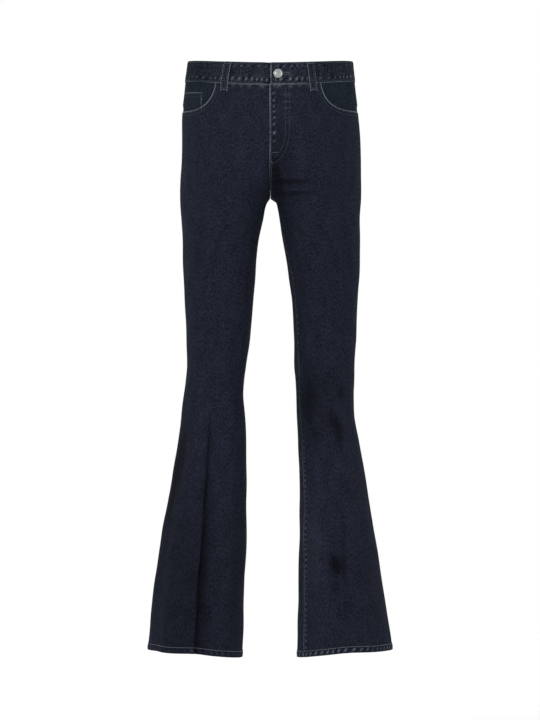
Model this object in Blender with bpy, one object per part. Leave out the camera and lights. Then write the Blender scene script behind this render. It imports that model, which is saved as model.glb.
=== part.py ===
"""Flared five-pocket jeans, filled out as when worn, with nobody in them.

Metres, +Z up, the front faces -Y. The origin is the middle of the waist opening, level with the
waistband's top edge at the sides. Left and right are the wearer's, so the left leg is at +X.
A place on the cloth is a drop below the waist edge and an angle round the leg's oval: 0 is the inner
thigh, 90 degrees the front, 180 the outer side and 270 the back.
"""

import math
from collections import namedtuple

import bmesh
import bpy
import numpy as np
from mathutils import Matrix, Vector

RIGHT, LEFT = -1, 1
SIDE_NAMES = {RIGHT: "right", LEFT: "left"}
FRONT_ANGLE = math.pi / 2
FULL_TURN = 2 * math.pi
SMALL_TURN = 0.01
SMALL_DROP = 0.001
MERGE_DISTANCE = 0.00002

# Cloth and seams
DENIM = 0.0014
SEAM_GAP = 0.0003
LAYER_GAP = 0.0003
SHARP_EDGE = math.radians(40)

# The leg's section is a superellipse with this exponent: 2 is a plain ellipse, more is boxier.
SQUARENESS = 2.2
MIDDLING_GIRTH = 0.45

# Waistband
BAND_HEIGHT = 0.038
BAND_PROUD = 0.0015
BAND_THICKNESS = 0.0030
BAND_COLUMNS = 84
BAND_ROWS = 3
UNDERLAP_COLUMNS = 5
WAIST_DIP = 0.009
WAIST_DIP_ENDS = 0.150
SEAM_DIP = 0.0035
SEAM_DIP_STAYS = 0.060
SEAM_DIP_ENDS = 0.180
OVERLAP_EDGE = 0.0008
UNDERLAP_STARTS = -0.0130
UNDERLAP_LEVEL = -0.0041
UNDERLAP_END = 0.0340

# Fly
FLY_WIDTH = 0.030
FLY_STRAIGHT = 0.130
FLY_BOTTOM = 0.188
FLY_PROUD = 0.0015
FLY_RAMP = 0.005
FLY_FACING_SHARE = 0.97
FLY_FACING_ENDS = (0.80, 0.35)

# Front pockets
POCKET_START = {RIGHT: 0.1005, LEFT: 0.0925}
POCKET_DEPTH = 0.0545
POCKET_SQUARENESS = 6
POCKET_UNDERLAP = 0.012
FACING_REACH_SHARE = 0.022
FACING_CURVE_SHARE = 0.030
COIN_TOP = 0.058
COIN_EDGE = 0.1245
COIN_WIDTH_SHARE = 0.200
COIN_THICKNESS = 0.0012
COIN_UNDERLAP = 0.008
COIN_HOLLOW_SHARES = (0.008, 0.030)
FACING_ROWS = 6
COIN_ROWS = 5

# Back
YOKE_AT_SIDE = 0.035
YOKE_AT_CENTRE = 0.072
BACK_POCKET_TOP = 0.122
BACK_POCKET_SIDE = 0.104
BACK_POCKET_POINT = 0.024
BACK_POCKET_INNER = 0.028
BACK_POCKET_OUTER = 0.136
BACK_POCKET_TAPER = 0.008
BACK_POCKET_THICKNESS = 0.0016
BACK_POCKET_GAP = 0.0006
BACK_POCKET_COLUMNS = 13
BACK_POCKET_ROWS = 11

# Belt loops
LOOP_WIDTH = 0.013
LOOP_THICKNESS = 0.0013
LOOP_FOLD = 0.008
LOOP_SLACK = 0.0026
LOOP_BEND = 0.0035
LOOP_TOP = 0.0005
LOOP_BOTTOM = 0.054
LOOP_COLUMNS = 4
LOOP_LEAN = 0.0046
FRONT_LOOP_X = {RIGHT: 0.0800, LEFT: 0.0745}
BACK_LOOP_X = 0.104

# A belt loop from top to bottom: its inner face's height over the panels, and its thickness. Both ends
# are folded under, so they are double, and the belt's slack is between them.
LoopLevel = namedtuple("LoopLevel", "drop seat thickness")
ON_BAND = BAND_PROUD + LAYER_GAP
LOOP_LEVELS = (
    LoopLevel(LOOP_TOP, ON_BAND, 2 * LOOP_THICKNESS),
    LoopLevel(LOOP_FOLD, ON_BAND, 2 * LOOP_THICKNESS),
    LoopLevel(LOOP_FOLD + LOOP_BEND, ON_BAND + LOOP_SLACK, LOOP_THICKNESS),
    LoopLevel(BAND_HEIGHT / 2, ON_BAND + 1.15 * LOOP_SLACK, LOOP_THICKNESS),
    LoopLevel(BAND_HEIGHT - LOOP_BEND, ON_BAND + LOOP_SLACK, LOOP_THICKNESS),
    LoopLevel(BAND_HEIGHT + LOOP_BEND, ON_BAND, 1.5 * LOOP_THICKNESS),
    LoopLevel(LOOP_BOTTOM - LOOP_FOLD, LAYER_GAP, 2 * LOOP_THICKNESS),
    LoopLevel(LOOP_BOTTOM, LAYER_GAP, 2 * LOOP_THICKNESS),
)

# Button
BUTTON_RADIUS = 0.0085
BUTTON_X = 0.0140
BUTTON_DROP = 0.0195
BUTTON_STEPS = 20

# The button's turned outline, from the middle of its back to the middle of its face
ButtonPoint = namedtuple("ButtonPoint", "radius_share height")
BUTTON_OUTLINE = (
    ButtonPoint(0.00, 0.0000),
    ButtonPoint(0.90, 0.0000),
    ButtonPoint(1.00, 0.0007),
    ButtonPoint(1.00, 0.0016),
    ButtonPoint(0.90, 0.0023),
    ButtonPoint(0.74, 0.0023),
    ButtonPoint(0.66, 0.0017),
    ButtonPoint(0.35, 0.0022),
    ButtonPoint(0.00, 0.0024),
)

# Legs and hems
CROTCH_DROP = 0.252
HEM_DROP = 1.0925
HEM_HEIGHT = 0.012
HEM_STEP = 0.002
HEM_PROUD = 0.0007
HEM_SLANT = 0.0070
HEM_TILT_STARTS = 0.650
HEM_FRONT_RISE = {RIGHT: 0.0035, LEFT: 0.0055}
SIDE_SHARE = 0.53

# One row for each level. Outer and inner are across from the middle line, front and back along Y.
# Above the crotch, inner is how far the thigh's oval would reach past the middle.
Section = namedtuple("Section", "drop right_outer right_inner left_inner left_outer front back")
SECTIONS = (
    Section(0.000, 0.1503, -0.1503, -0.1515, 0.1515, 0.097, 0.098),
    Section(0.040, 0.1565, -0.1565, -0.1565, 0.1565, 0.101, 0.108),
    Section(0.080, 0.1610, -0.1610, -0.1610, 0.1620, 0.104, 0.120),
    Section(0.120, 0.1635, -0.1480, -0.1480, 0.1655, 0.105, 0.128),
    Section(0.160, 0.1650, -0.1100, -0.1100, 0.1675, 0.104, 0.131),
    Section(0.200, 0.1660, -0.0500, -0.0500, 0.1680, 0.102, 0.128),
    Section(0.225, 0.1665, -0.0210, -0.0210, 0.1680, 0.099, 0.121),
    Section(0.240, 0.1670, -0.0085, -0.0090, 0.1680, 0.097, 0.115),
    Section(CROTCH_DROP, 0.1670, 0.0000, 0.0000, 0.1680, 0.096, 0.109),
    Section(0.260, 0.1668, 0.0058, 0.0108, 0.1678, 0.095, 0.105),
    Section(0.270, 0.1662, 0.0098, 0.0132, 0.1672, 0.094, 0.100),
    Section(0.290, 0.1648, 0.0138, 0.0164, 0.1660, 0.092, 0.093),
    Section(0.340, 0.1630, 0.0230, 0.0250, 0.1650, 0.088, 0.082),
    Section(0.395, 0.1600, 0.0280, 0.0340, 0.1640, 0.085, 0.073),
    Section(0.450, 0.1570, 0.0320, 0.0410, 0.1620, 0.082, 0.065),
    Section(0.505, 0.1550, 0.0360, 0.0435, 0.1590, 0.079, 0.058),
    Section(0.560, 0.1540, 0.0440, 0.0455, 0.1560, 0.075, 0.053),
    Section(0.590, 0.1560, 0.0480, 0.0470, 0.1550, 0.073, 0.052),
    Section(0.615, 0.1590, 0.0490, 0.0470, 0.1540, 0.071, 0.053),
    Section(0.645, 0.1630, 0.0475, 0.0475, 0.1550, 0.070, 0.056),
    Section(0.700, 0.1715, 0.0450, 0.0515, 0.1640, 0.070, 0.062),
    Section(0.755, 0.1800, 0.0440, 0.0530, 0.1730, 0.071, 0.067),
    Section(0.865, 0.1980, 0.0445, 0.0535, 0.1910, 0.075, 0.077),
    Section(0.975, 0.2155, 0.0475, 0.0520, 0.2080, 0.079, 0.086),
    Section(1.032, 0.2225, 0.0495, 0.0510, 0.2175, 0.081, 0.090),
    Section(HEM_DROP, 0.2265, 0.0515, 0.0500, 0.2260, 0.083, 0.093),
)

# How far each seam has turned round its leg, in degrees. The inseams turn to the front.
Twist = namedtuple("Twist", "drop right_inseam left_inseam right_side left_side")
TWISTS = (
    Twist(CROTCH_DROP, 0, 0, 0, 0),
    Twist(0.262, 0.5, 2, 0, 0),
    Twist(0.310, 3, 15, 1, 1),
    Twist(0.450, 6, 25, 2, 5),
    Twist(0.700, 8, 28, 3, 9),
    Twist(HEM_DROP, 8, 31, 4, 12),
)

# The flare's folds. Angles and widths in degrees round the leg. A negative depth is a trough.
Fold = namedtuple("Fold", "side starts angle_at_start angle_at_hem width_at_start width_at_hem depth")
FOLDS = (
    Fold(RIGHT, 0.600, 93, 87.5, 8, 16, -0.016),
    Fold(RIGHT, 0.600, 52, 54, 16, 18, 0.005),
    Fold(RIGHT, 0.600, 118, 116, 15, 17, 0.007),
    Fold(RIGHT, 0.640, 152, 146, 10, 14, -0.005),
    Fold(RIGHT, 0.620, 216, 212, 14, 16, -0.009),
    Fold(RIGHT, 0.620, 250, 246, 14, 16, 0.006),
    Fold(RIGHT, 0.600, 286, 282, 12, 17, -0.013),
    Fold(LEFT, 0.640, 98, 92, 9, 17, -0.010),
    Fold(LEFT, 0.640, 62, 60, 15, 17, 0.004),
    Fold(LEFT, 0.640, 128, 124, 14, 16, 0.005),
    Fold(LEFT, 0.600, 210, 214, 14, 16, -0.008),
    Fold(LEFT, 0.600, 238, 244, 14, 16, 0.006),
    Fold(LEFT, 0.620, 272, 276, 12, 17, -0.013),
    Fold(LEFT, 0.640, 312, 316, 14, 16, -0.006),
)

# Levels of the panels' rows of points, closest together where the crotch curve turns
SEAT_LEVEL = 0.170
UPPER_ROWS = 7
CROTCH_LEVELS = (0.195, 0.215, 0.230, 0.240, 0.2465, 0.2505, CROTCH_DROP, 0.256, 0.262, 0.272, 0.290)
THIGH_LEVELS = (0.320, 0.360, 0.410, 0.460, 0.510, 0.550)
FLARE_LEVELS = (0.585, 0.615, 0.650, 0.690, 0.740, 0.800, 0.860, 0.920, 0.980, 1.030)
HEM_LEVELS = (HEM_DROP - HEM_HEIGHT - HEM_STEP, HEM_DROP - HEM_HEIGHT, HEM_DROP)

# Shares of the way round a leg, from the centre front or the inseam: two columns hold the fly's edge
CENTRE_SHARES = (0.0, 0.021, 0.042, 0.056, 0.090, 0.125, 0.162)
POCKET_COLUMNS = 8
BACK_COLUMNS = 14
YOKE_ROWS = 4
MOST_GRIP = 4

# Colours and shine
DENIM_COLOUR = (0.0135, 0.0150, 0.0250, 1.0)
FACING_COLOUR = (0.0190, 0.0240, 0.0350, 1.0)
BUTTON_COLOUR = (0.6200, 0.6200, 0.6000, 1.0)
DENIM_ROUGHNESS = 0.9
BUTTON_ROUGHNESS = 0.3


def smooth(x, xs, ys):
    """A curve through the table's points that never swings past them (Fritsch-Carlson)."""
    xs, ys = np.asarray(xs, float), np.asarray(ys, float)
    step = np.diff(xs)
    slope = np.diff(ys) / step
    tangent = np.concatenate([slope[:1], np.zeros(len(slope) - 1), slope[-1:]])
    same_way = slope[:-1] * slope[1:] > 0
    before, after = step[:-1] + 2 * step[1:], 2 * step[:-1] + step[1:]
    safe = np.where(same_way, slope[:-1], 1), np.where(same_way, slope[1:], 1)
    mean = (before + after) / (before / safe[0] + after / safe[1])
    tangent[1:-1] = np.where(same_way, mean, 0)
    x = np.clip(x, xs[0], xs[-1])
    i = np.clip(np.searchsorted(xs, x, side="right") - 1, 0, len(step) - 1)
    t = (x - xs[i]) / step[i]
    return (
        ys[i] * (1 + 2 * t) * (1 - t) ** 2
        + ys[i + 1] * t * t * (3 - 2 * t)
        + step[i] * t * (1 - t) * (tangent[i] * (1 - t) - tangent[i + 1] * t)
    )


def column(table, name):
    """One named column of a table, as a list."""
    return [getattr(row, name) for row in table]


def ease(x, start, end):
    """0 before start, 1 after end, smooth between them."""
    t = np.clip((x - start) / (end - start), 0, 1)
    return t * t * (3 - 2 * t)


Oval = namedtuple("Oval", "middle half_width centre half_depth")


def oval(side, drop):
    """The leg's oval at a drop. Middle and half width run outwards from the middle line."""
    drops = column(SECTIONS, "drop")
    outer = smooth(drop, drops, column(SECTIONS, SIDE_NAMES[side] + "_outer"))
    inner = smooth(drop, drops, column(SECTIONS, SIDE_NAMES[side] + "_inner"))
    front = smooth(drop, drops, column(SECTIONS, "front"))
    back = smooth(drop, drops, column(SECTIONS, "back"))
    return Oval((outer + inner) / 2, (outer - inner) / 2, (back - front) / 2, (back + front) / 2)


def squared(value):
    """Turns a circle's cosine or sine into that of a slightly boxy oval."""
    return np.sign(value) * np.abs(value) ** (2 / SQUARENESS)


def unsquared(value):
    """The circle's cosine or sine that squared turns into this one."""
    return np.sign(value) * np.abs(value) ** (SQUARENESS / 2)


def fold_depth(side, drop, angle):
    """How far the folds push the cloth out of its oval."""
    total = np.zeros(np.broadcast(drop, angle).shape)
    for fold in FOLDS:
        if fold.side != side:
            continue
        down = np.clip((drop - fold.starts) / (HEM_DROP - fold.starts), 0, 1)
        at = np.radians(fold.angle_at_start + (fold.angle_at_hem - fold.angle_at_start) * down)
        width = np.radians(fold.width_at_start + (fold.width_at_hem - fold.width_at_start) * down)
        off = (angle - at + math.pi) % FULL_TURN - math.pi
        total += fold.depth * np.sin(down * math.pi / 2) * np.exp(-((off / width) ** 2))
    return total


def bare_skin(side, drop, angle):
    """Points of the panels' outer face, as an array with X, Y and Z last."""
    drop, angle = np.broadcast_arrays(np.asarray(drop, float), np.asarray(angle, float))
    row = oval(side, drop)
    cosine, sine = np.cos(angle), np.sin(angle)
    across = -row.half_width * squared(cosine)
    along = -row.half_depth * squared(sine)
    radius = np.hypot(across, along)
    grow = 1 + fold_depth(side, drop, angle) / radius
    facing_front = np.maximum(sine, 0) ** 2
    tilt = ease(drop, HEM_TILT_STARTS, HEM_DROP)
    seam_dip = SEAM_DIP * ease(drop, 0, BAND_HEIGHT) * (1 - ease(drop, SEAM_DIP_STAYS, SEAM_DIP_ENDS))
    sink = (WAIST_DIP * (1 - ease(drop, 0, WAIST_DIP_ENDS)) + seam_dip) * facing_front
    rise = tilt * (HEM_FRONT_RISE[side] * facing_front - HEM_SLANT * cosine)
    x = side * (row.middle + across * grow)
    y = row.centre + along * grow
    return np.stack([x, y, rise - sink - drop], axis=-1)


def outward(side, drop, angle):
    """Unit normals of the panels' outer face."""
    round_leg = bare_skin(side, drop, angle + SMALL_TURN) - bare_skin(side, drop, angle - SMALL_TURN)
    down_leg = bare_skin(side, drop + SMALL_DROP, angle) - bare_skin(side, drop - SMALL_DROP, angle)
    normal = np.cross(down_leg, round_leg) * side
    return normal / np.linalg.norm(normal, axis=-1, keepdims=True)


def skin(side, drop, angle, proud=0.0):
    """Points of the cloth's face, moved out by proud."""
    drop, angle = np.broadcast_arrays(np.asarray(drop, float), np.asarray(angle, float))
    return bare_skin(side, drop, angle) + outward(side, drop, angle) * np.asarray(proud)[..., None]


def first_angle(side, drop):
    """Where the front meets the middle line, or starts at the inner thigh, with half a seam's gap."""
    row = oval(side, drop)
    half_gap = SEAM_GAP / 2
    cut = np.arccos(np.clip(unsquared((row.middle - half_gap) / row.half_width), -1, 1))
    return np.maximum(cut, half_gap / row.half_depth)


def angle_at_share(side, drop, share):
    """The angle at a share of the way round, from the centre front or inseam to the back's."""
    drops = column(TWISTS, "drop")
    inseam = smooth(drop, drops, column(TWISTS, SIDE_NAMES[side] + "_inseam"))
    side_seam = smooth(drop, drops, column(TWISTS, SIDE_NAMES[side] + "_side"))
    reach = np.where(share < SIDE_SHARE, SIDE_SHARE, 1 - SIDE_SHARE)
    from_side = np.abs(share - SIDE_SHARE) / reach
    turned = side_seam + (inseam - side_seam) * from_side
    start = first_angle(side, drop)
    # Near the crotch the start moves fast, so there it only draws the nearest columns along.
    grip = np.clip(FRONT_ANGLE / start, 1, MOST_GRIP)
    middle = 1 - 2 * share
    drawn = start * np.sign(middle) * np.abs(middle) ** grip
    return FULL_TURN * share + drawn + np.radians(turned)


def angle_at_x(side, drop, x, back=False):
    """The angle at a distance from the middle line, on the front or the back."""
    row = oval(side, drop)
    angle = np.arccos(np.clip(unsquared((row.middle - x) / row.half_width), -1, 1))
    return FULL_TURN - angle if back else angle


def material(name, colour, roughness, metallic=0.0):
    """A plain material with the part's colour and shine."""
    made = bpy.data.materials.new(name)
    made.use_nodes = True
    shader = made.node_tree.nodes["Principled BSDF"]
    shader.inputs["Base Color"].default_value = colour
    shader.inputs["Roughness"].default_value = roughness
    shader.inputs["Metallic"].default_value = metallic
    return made


def add_object(name, shape, finish):
    """Turns a bmesh into a named object, with smooth faces and sharp edges."""
    bmesh.ops.triangulate(shape, faces=shape.faces)
    bmesh.ops.recalc_face_normals(shape, faces=shape.faces)
    mesh = bpy.data.meshes.new(name)
    shape.to_mesh(mesh)
    shape.free()
    mesh.shade_smooth()
    mesh.set_sharp_from_angle(angle=SHARP_EDGE)
    mesh.materials.append(finish)
    made = bpy.data.objects.new(name, mesh)
    bpy.context.scene.collection.objects.link(made)
    return made


def add_wall(name, finish, outer, inner):
    """A sheet of cloth as a closed wall between two grids of points."""
    rows, columns = outer.shape[:2]
    shape = bmesh.new()
    grids = [[[shape.verts.new(point) for point in line] for line in grid] for grid in (outer, inner)]
    for r in range(rows - 1):
        for c in range(columns - 1):
            for grid in grids:
                shape.faces.new((grid[r][c], grid[r][c + 1], grid[r + 1][c + 1], grid[r + 1][c]))
    edge = [(0, c) for c in range(columns)]
    edge += [(r, columns - 1) for r in range(1, rows)]
    edge += [(rows - 1, c) for c in range(columns - 2, -1, -1)]
    edge += [(r, 0) for r in range(rows - 2, 0, -1)]
    for here, after in zip(edge, edge[1:] + edge[:1]):
        ends = [grid[r][c] for grid in grids for r, c in (here, after)]
        shape.faces.new((ends[0], ends[1], ends[3], ends[2]))
    return add_object(name, shape, finish)


def add_cloth(name, finish, side, drop, angle, proud=0.0, thickness=DENIM):
    """A wall whose outer face stands proud of the panels' face by the given amount."""
    proud = np.broadcast_to(proud, drop.shape)
    outer = skin(side, drop, angle, proud)
    inner = skin(side, drop, angle, proud - thickness)
    return add_wall(name, finish, outer, inner)


def spread(start, end, rows):
    """Rows of drops from one edge of a piece to the other, with a column for each share."""
    return start + (end - start) * np.linspace(0, 1, rows)[:, None]


def band_seam():
    """The drop where the panels start, under the waistband."""
    return BAND_HEIGHT + SEAM_GAP


def share_at_x(side, drop, x):
    """The share of the way round at a distance from the middle line, near the waist."""
    start = first_angle(side, drop)
    return float((angle_at_x(side, drop, x) - start) / (FULL_TURN - 2 * start))


def pocket_start_share(side):
    return share_at_x(side, BAND_HEIGHT, POCKET_START[side])


def pocket_drop(side, share, depth=POCKET_DEPTH, reach=0.0):
    """The pocket opening's edge: a squarish quarter oval from the waist seam to the side seam."""
    start = pocket_start_share(side) - reach
    along = np.clip((SIDE_SHARE - share) / (SIDE_SHARE - start), 0, 1)
    return band_seam() + depth * np.sqrt(1 - along**POCKET_SQUARENESS)


def yoke_drop(share):
    """The drop of the yoke's lower seam, deepest at the centre back."""
    along = (share - SIDE_SHARE) / (1 - SIDE_SHARE)
    return band_seam() + YOKE_AT_SIDE + (YOKE_AT_CENTRE - YOKE_AT_SIDE) * along


def half_gap_share():
    """Half a seam's gap as a share of the way round a middling leg."""
    return SEAM_GAP / 2 / MIDDLING_GIRTH


def coin_shares(side):
    """The coin pocket's two edges as shares of the way round."""
    edge = share_at_x(side, COIN_TOP, COIN_EDGE)
    return edge, edge + COIN_WIDTH_SHARE


def pocket_shares(side):
    """The front's columns along the pocket opening, with one at each edge of the coin pocket."""
    start = pocket_start_share(side)
    last = SIDE_SHARE - half_gap_share()
    swing = np.linspace(0, math.pi / 2, POCKET_COLUMNS + 1)
    curve = start + (last - start) * (1 - np.cos(swing))
    return np.sort(np.concatenate([curve, coin_shares(side)]))


def back_shares():
    """The columns of the back and the yoke, from the side seam to the centre back."""
    return np.linspace(SIDE_SHARE + half_gap_share(), 1, BACK_COLUMNS)


def panel_drops(top):
    """The rows of a panel that starts at the given drops, one for each column."""
    upper = spread(top, SEAT_LEVEL, UPPER_ROWS + 1)[:-1]
    levels = (SEAT_LEVEL,) + CROTCH_LEVELS + THIGH_LEVELS + FLARE_LEVELS + HEM_LEVELS
    lower = np.repeat(np.array(levels)[:, None], len(top), axis=1)
    return np.vstack([upper, lower])


def hem_shape(drop):
    """How far the hem's turned edge stands out, and how thick the cloth is there."""
    turned = drop > HEM_DROP - HEM_HEIGHT - HEM_STEP / 2
    return turned * HEM_PROUD, DENIM + turned * 2 * HEM_PROUD


def fly_edge(drop):
    """How far the J-shaped edge of the fly is from the middle line."""
    along = np.clip((drop - FLY_STRAIGHT) / (FLY_BOTTOM - FLY_STRAIGHT), 0, 1)
    return FLY_WIDTH * np.sqrt(1 - along**2)


def fly_proud(side, drop, angle):
    """The left front lies over the fly, so it stands out there."""
    x = np.abs(bare_skin(side, drop, angle)[..., 0])
    over_fly = 1 - ease(x, fly_edge(drop) - FLY_RAMP / 2, fly_edge(drop) + FLY_RAMP / 2)
    return FLY_PROUD * over_fly * (drop < FLY_BOTTOM) * (side == LEFT)


def add_front(side, name, denim):
    """The front of a leg, from the waistband and the pocket opening down to the hem."""
    start = pocket_start_share(side)
    share = np.concatenate([CENTRE_SHARES, [start - FACING_REACH_SHARE], pocket_shares(side)])
    top = np.where(share <= start, band_seam(), pocket_drop(side, share))
    drop = panel_drops(top)
    angle = angle_at_share(side, drop, share[None, :])
    proud, thickness = hem_shape(drop)
    return add_cloth(name, denim, side, drop, angle, proud + fly_proud(side, drop, angle), thickness)


def add_back(side, name, denim):
    """The back of a leg, from the yoke down to the hem."""
    share = back_shares()
    drop = panel_drops(yoke_drop(share) + SEAM_GAP)
    angle = angle_at_share(side, drop, share[None, :])
    proud, thickness = hem_shape(drop)
    return add_cloth(name, denim, side, drop, angle, proud, thickness)


def add_yoke(side, name, denim):
    """The yoke, between the waistband and the back."""
    share = back_shares()
    drop = spread(band_seam(), yoke_drop(share), YOKE_ROWS)
    return add_cloth(name, denim, side, drop, angle_at_share(side, drop, share[None, :]))


def facing_proud(side, share):
    """The facing lies under the front panel, and deeper where the coin pocket lies on it."""
    first, last = coin_shares(side)
    near, far = COIN_HOLLOW_SHARES
    under_coin = ease(share, first - far, first - near) * (1 - ease(share, last, last + near))
    return -DENIM - LAYER_GAP - (COIN_THICKNESS + LAYER_GAP) * under_coin * (side == RIGHT)


def add_facing(side, name, finish):
    """The cloth behind the pocket opening, which reaches past it under the front."""
    columns = pocket_shares(side)
    ends = (columns[0] - FACING_REACH_SHARE, SIDE_SHARE + FACING_REACH_SHARE)
    share = np.concatenate([ends[:1], columns, ends[1:]])
    low = pocket_drop(side, share, POCKET_DEPTH + POCKET_UNDERLAP, FACING_CURVE_SHARE)
    drop = spread(band_seam(), low, FACING_ROWS)
    angle = angle_at_share(side, drop, share[None, :])
    return add_cloth(name, finish, side, drop, angle, facing_proud(side, share))


def add_coin_pocket(finish):
    """The small pocket on the right facing, whose lower end goes under the front."""
    first, last = coin_shares(RIGHT)
    columns = pocket_shares(RIGHT)
    share = columns[(columns >= first) & (columns <= last)]
    drop = spread(COIN_TOP, pocket_drop(RIGHT, share) + COIN_UNDERLAP, COIN_ROWS)
    angle = angle_at_share(RIGHT, drop, share[None, :])
    return add_cloth("coin_pocket", finish, RIGHT, drop, angle, -DENIM - LAYER_GAP, COIN_THICKNESS)


def add_fly_facing(denim):
    """The cloth under the left front's edge, which makes the fly's J-shaped step."""
    fly_columns = np.array(CENTRE_SHARES[:3])
    full_rows = UPPER_ROWS + 1 - len(FLY_FACING_ENDS)
    width = np.array((1.0,) * full_rows + FLY_FACING_ENDS)[:, None]
    share = fly_columns * FLY_FACING_SHARE * width
    drop = np.broadcast_to(spread(band_seam(), SEAT_LEVEL, UPPER_ROWS + 1), share.shape)
    angle = angle_at_share(LEFT, drop, share)
    proud = FLY_PROUD - DENIM - LAYER_GAP
    return add_cloth("fly_facing", denim, LEFT, drop, angle, proud, DENIM - LAYER_GAP)


def add_back_pocket(side, name, denim):
    """A five-sided patch: straight sides that draw in a little, and a point at the bottom."""
    across = np.linspace(0, 1, BACK_POCKET_COLUMNS)
    down = np.linspace(0, 1, BACK_POCKET_ROWS)[:, None]
    height = BACK_POCKET_SIDE + BACK_POCKET_POINT * (1 - np.abs(2 * across - 1))
    drop = BACK_POCKET_TOP + height * down
    inner = angle_at_x(side, drop, BACK_POCKET_INNER + BACK_POCKET_TAPER / 2 * down, back=True)
    outer = angle_at_x(side, drop, BACK_POCKET_OUTER - BACK_POCKET_TAPER * down, back=True)
    angle = inner + (outer - inner) * across
    proud = BACK_POCKET_GAP + BACK_POCKET_THICKNESS
    return add_cloth(name, denim, side, drop, angle, proud, BACK_POCKET_THICKNESS)


def turn_at_x(x):
    """The turn round the waist, from the centre front towards the left, at a distance across."""
    return math.asin(unsquared(x / oval(LEFT, BAND_HEIGHT / 2).half_width))


def round_waist(drop, turn, proud):
    """Points by the turn round the whole waist: 0 is the centre front, 90 degrees the left side."""
    on_right = (turn > math.pi) & (turn <= FULL_TURN)
    left_angle = FRONT_ANGLE + np.where(turn > FULL_TURN, turn - FULL_TURN, turn)
    left_points = skin(LEFT, drop, left_angle, proud)
    right_points = skin(RIGHT, drop, FRONT_ANGLE + FULL_TURN - turn, proud)
    return np.where(on_right[..., None], right_points, left_points)


def add_waistband(denim):
    """One strip that starts at the overlap's edge, goes round and ends under its own start."""
    first = turn_at_x(OVERLAP_EDGE)
    dips = FULL_TURN + turn_at_x(UNDERLAP_STARTS)
    level = FULL_TURN + turn_at_x(UNDERLAP_LEVEL)
    last = FULL_TURN + turn_at_x(UNDERLAP_END)
    round_body = np.linspace(first, dips, BAND_COLUMNS)
    dipping = np.linspace(dips, level, UNDERLAP_COLUMNS)[1:]
    under = np.linspace(level, last, UNDERLAP_COLUMNS)[1:]
    turn = np.concatenate([round_body, dipping, under])
    drop = np.linspace(0, BAND_HEIGHT, BAND_ROWS)[:, None]
    drop, turn = np.broadcast_arrays(drop, turn)
    proud = BAND_PROUD - (BAND_THICKNESS + LAYER_GAP) * ease(turn, dips, level)
    outer = round_waist(drop, turn, proud)
    inner = round_waist(drop, turn, proud - BAND_THICKNESS)
    return add_wall("waistband", denim, outer, inner)


def add_loop(name, denim, turn, lean=0.0):
    """A belt loop over the waistband, sewn down at both ends. Its foot is past its top by lean."""
    nearby = round_waist(BAND_HEIGHT / 2, turn + SMALL_TURN * np.array([-1, 1]), BAND_PROUD)
    turn_per_metre = 2 * SMALL_TURN / np.linalg.norm(nearby[1] - nearby[0])
    across = LOOP_WIDTH * np.linspace(-0.5, 0.5, LOOP_COLUMNS)
    drop, seat, thickness = (np.array(column(LOOP_LEVELS, key))[:, None] for key in LoopLevel._fields)
    turns = turn + turn_per_metre * (across + lean * (drop / LOOP_BOTTOM - 0.5))
    drop, seat, thickness, turns = np.broadcast_arrays(drop, seat, thickness, turns)
    outer = round_waist(drop, turns, seat + thickness)
    inner = round_waist(drop, turns, seat)
    return add_wall(name, denim, outer, inner)


def add_button(metal):
    """A tack button: a flat-backed disc with a rounded rim, a shallow ring and a low dome."""
    shape = bmesh.new()
    outline = [shape.verts.new((p.radius_share * BUTTON_RADIUS, 0, p.height)) for p in BUTTON_OUTLINE]
    edges = [shape.edges.new(pair) for pair in zip(outline, outline[1:])]
    middle, upright = (0, 0, 0), (0, 0, 1)
    bmesh.ops.spin(
        shape, geom=outline + edges, cent=middle, axis=upright, angle=FULL_TURN, steps=BUTTON_STEPS
    )
    bmesh.ops.remove_doubles(shape, verts=shape.verts, dist=MERGE_DISTANCE)
    button = add_object("button", shape, metal)
    angle = float(angle_at_x(LEFT, BUTTON_DROP, BUTTON_X))
    seat = Vector(skin(LEFT, BUTTON_DROP, angle, BAND_PROUD + LAYER_GAP))
    facing = Vector(outward(LEFT, BUTTON_DROP, angle)).to_track_quat("Z", "Y")
    button.matrix_world = Matrix.Translation(seat) @ facing.to_matrix().to_4x4()
    return button


def main():
    for old in list(bpy.data.objects):
        bpy.data.objects.remove(old)
    denim = material("denim", DENIM_COLOUR, DENIM_ROUGHNESS)
    facing_denim = material("facing_denim", FACING_COLOUR, DENIM_ROUGHNESS)
    metal = material("button_metal", BUTTON_COLOUR, BUTTON_ROUGHNESS, 1.0)
    for side, name in SIDE_NAMES.items():
        add_front(side, "front_" + name, denim)
        add_back(side, "back_" + name, denim)
        add_yoke(side, "yoke_" + name, denim)
        add_facing(side, "pocket_facing_" + name, facing_denim)
        add_back_pocket(side, "back_pocket_" + name, denim)
    add_coin_pocket(facing_denim)
    add_fly_facing(denim)
    add_waistband(denim)
    back_turn = math.pi - turn_at_x(BACK_LOOP_X)
    add_loop("belt_loop_front_left", denim, turn_at_x(FRONT_LOOP_X[LEFT]), LOOP_LEAN)
    add_loop("belt_loop_back_left", denim, back_turn)
    add_loop("belt_loop_centre_back", denim, math.pi)
    add_loop("belt_loop_back_right", denim, FULL_TURN - back_turn)
    add_loop("belt_loop_front_right", denim, FULL_TURN - turn_at_x(FRONT_LOOP_X[RIGHT]), -LOOP_LEAN)
    add_button(metal)


main()
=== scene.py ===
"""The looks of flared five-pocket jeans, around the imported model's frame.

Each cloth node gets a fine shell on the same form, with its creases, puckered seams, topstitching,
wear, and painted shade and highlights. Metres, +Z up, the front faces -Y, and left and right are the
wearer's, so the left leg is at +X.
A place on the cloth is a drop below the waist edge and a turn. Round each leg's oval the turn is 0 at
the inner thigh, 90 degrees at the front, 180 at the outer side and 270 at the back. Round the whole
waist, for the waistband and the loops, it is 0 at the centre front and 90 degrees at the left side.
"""

import math
from collections import namedtuple

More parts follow.
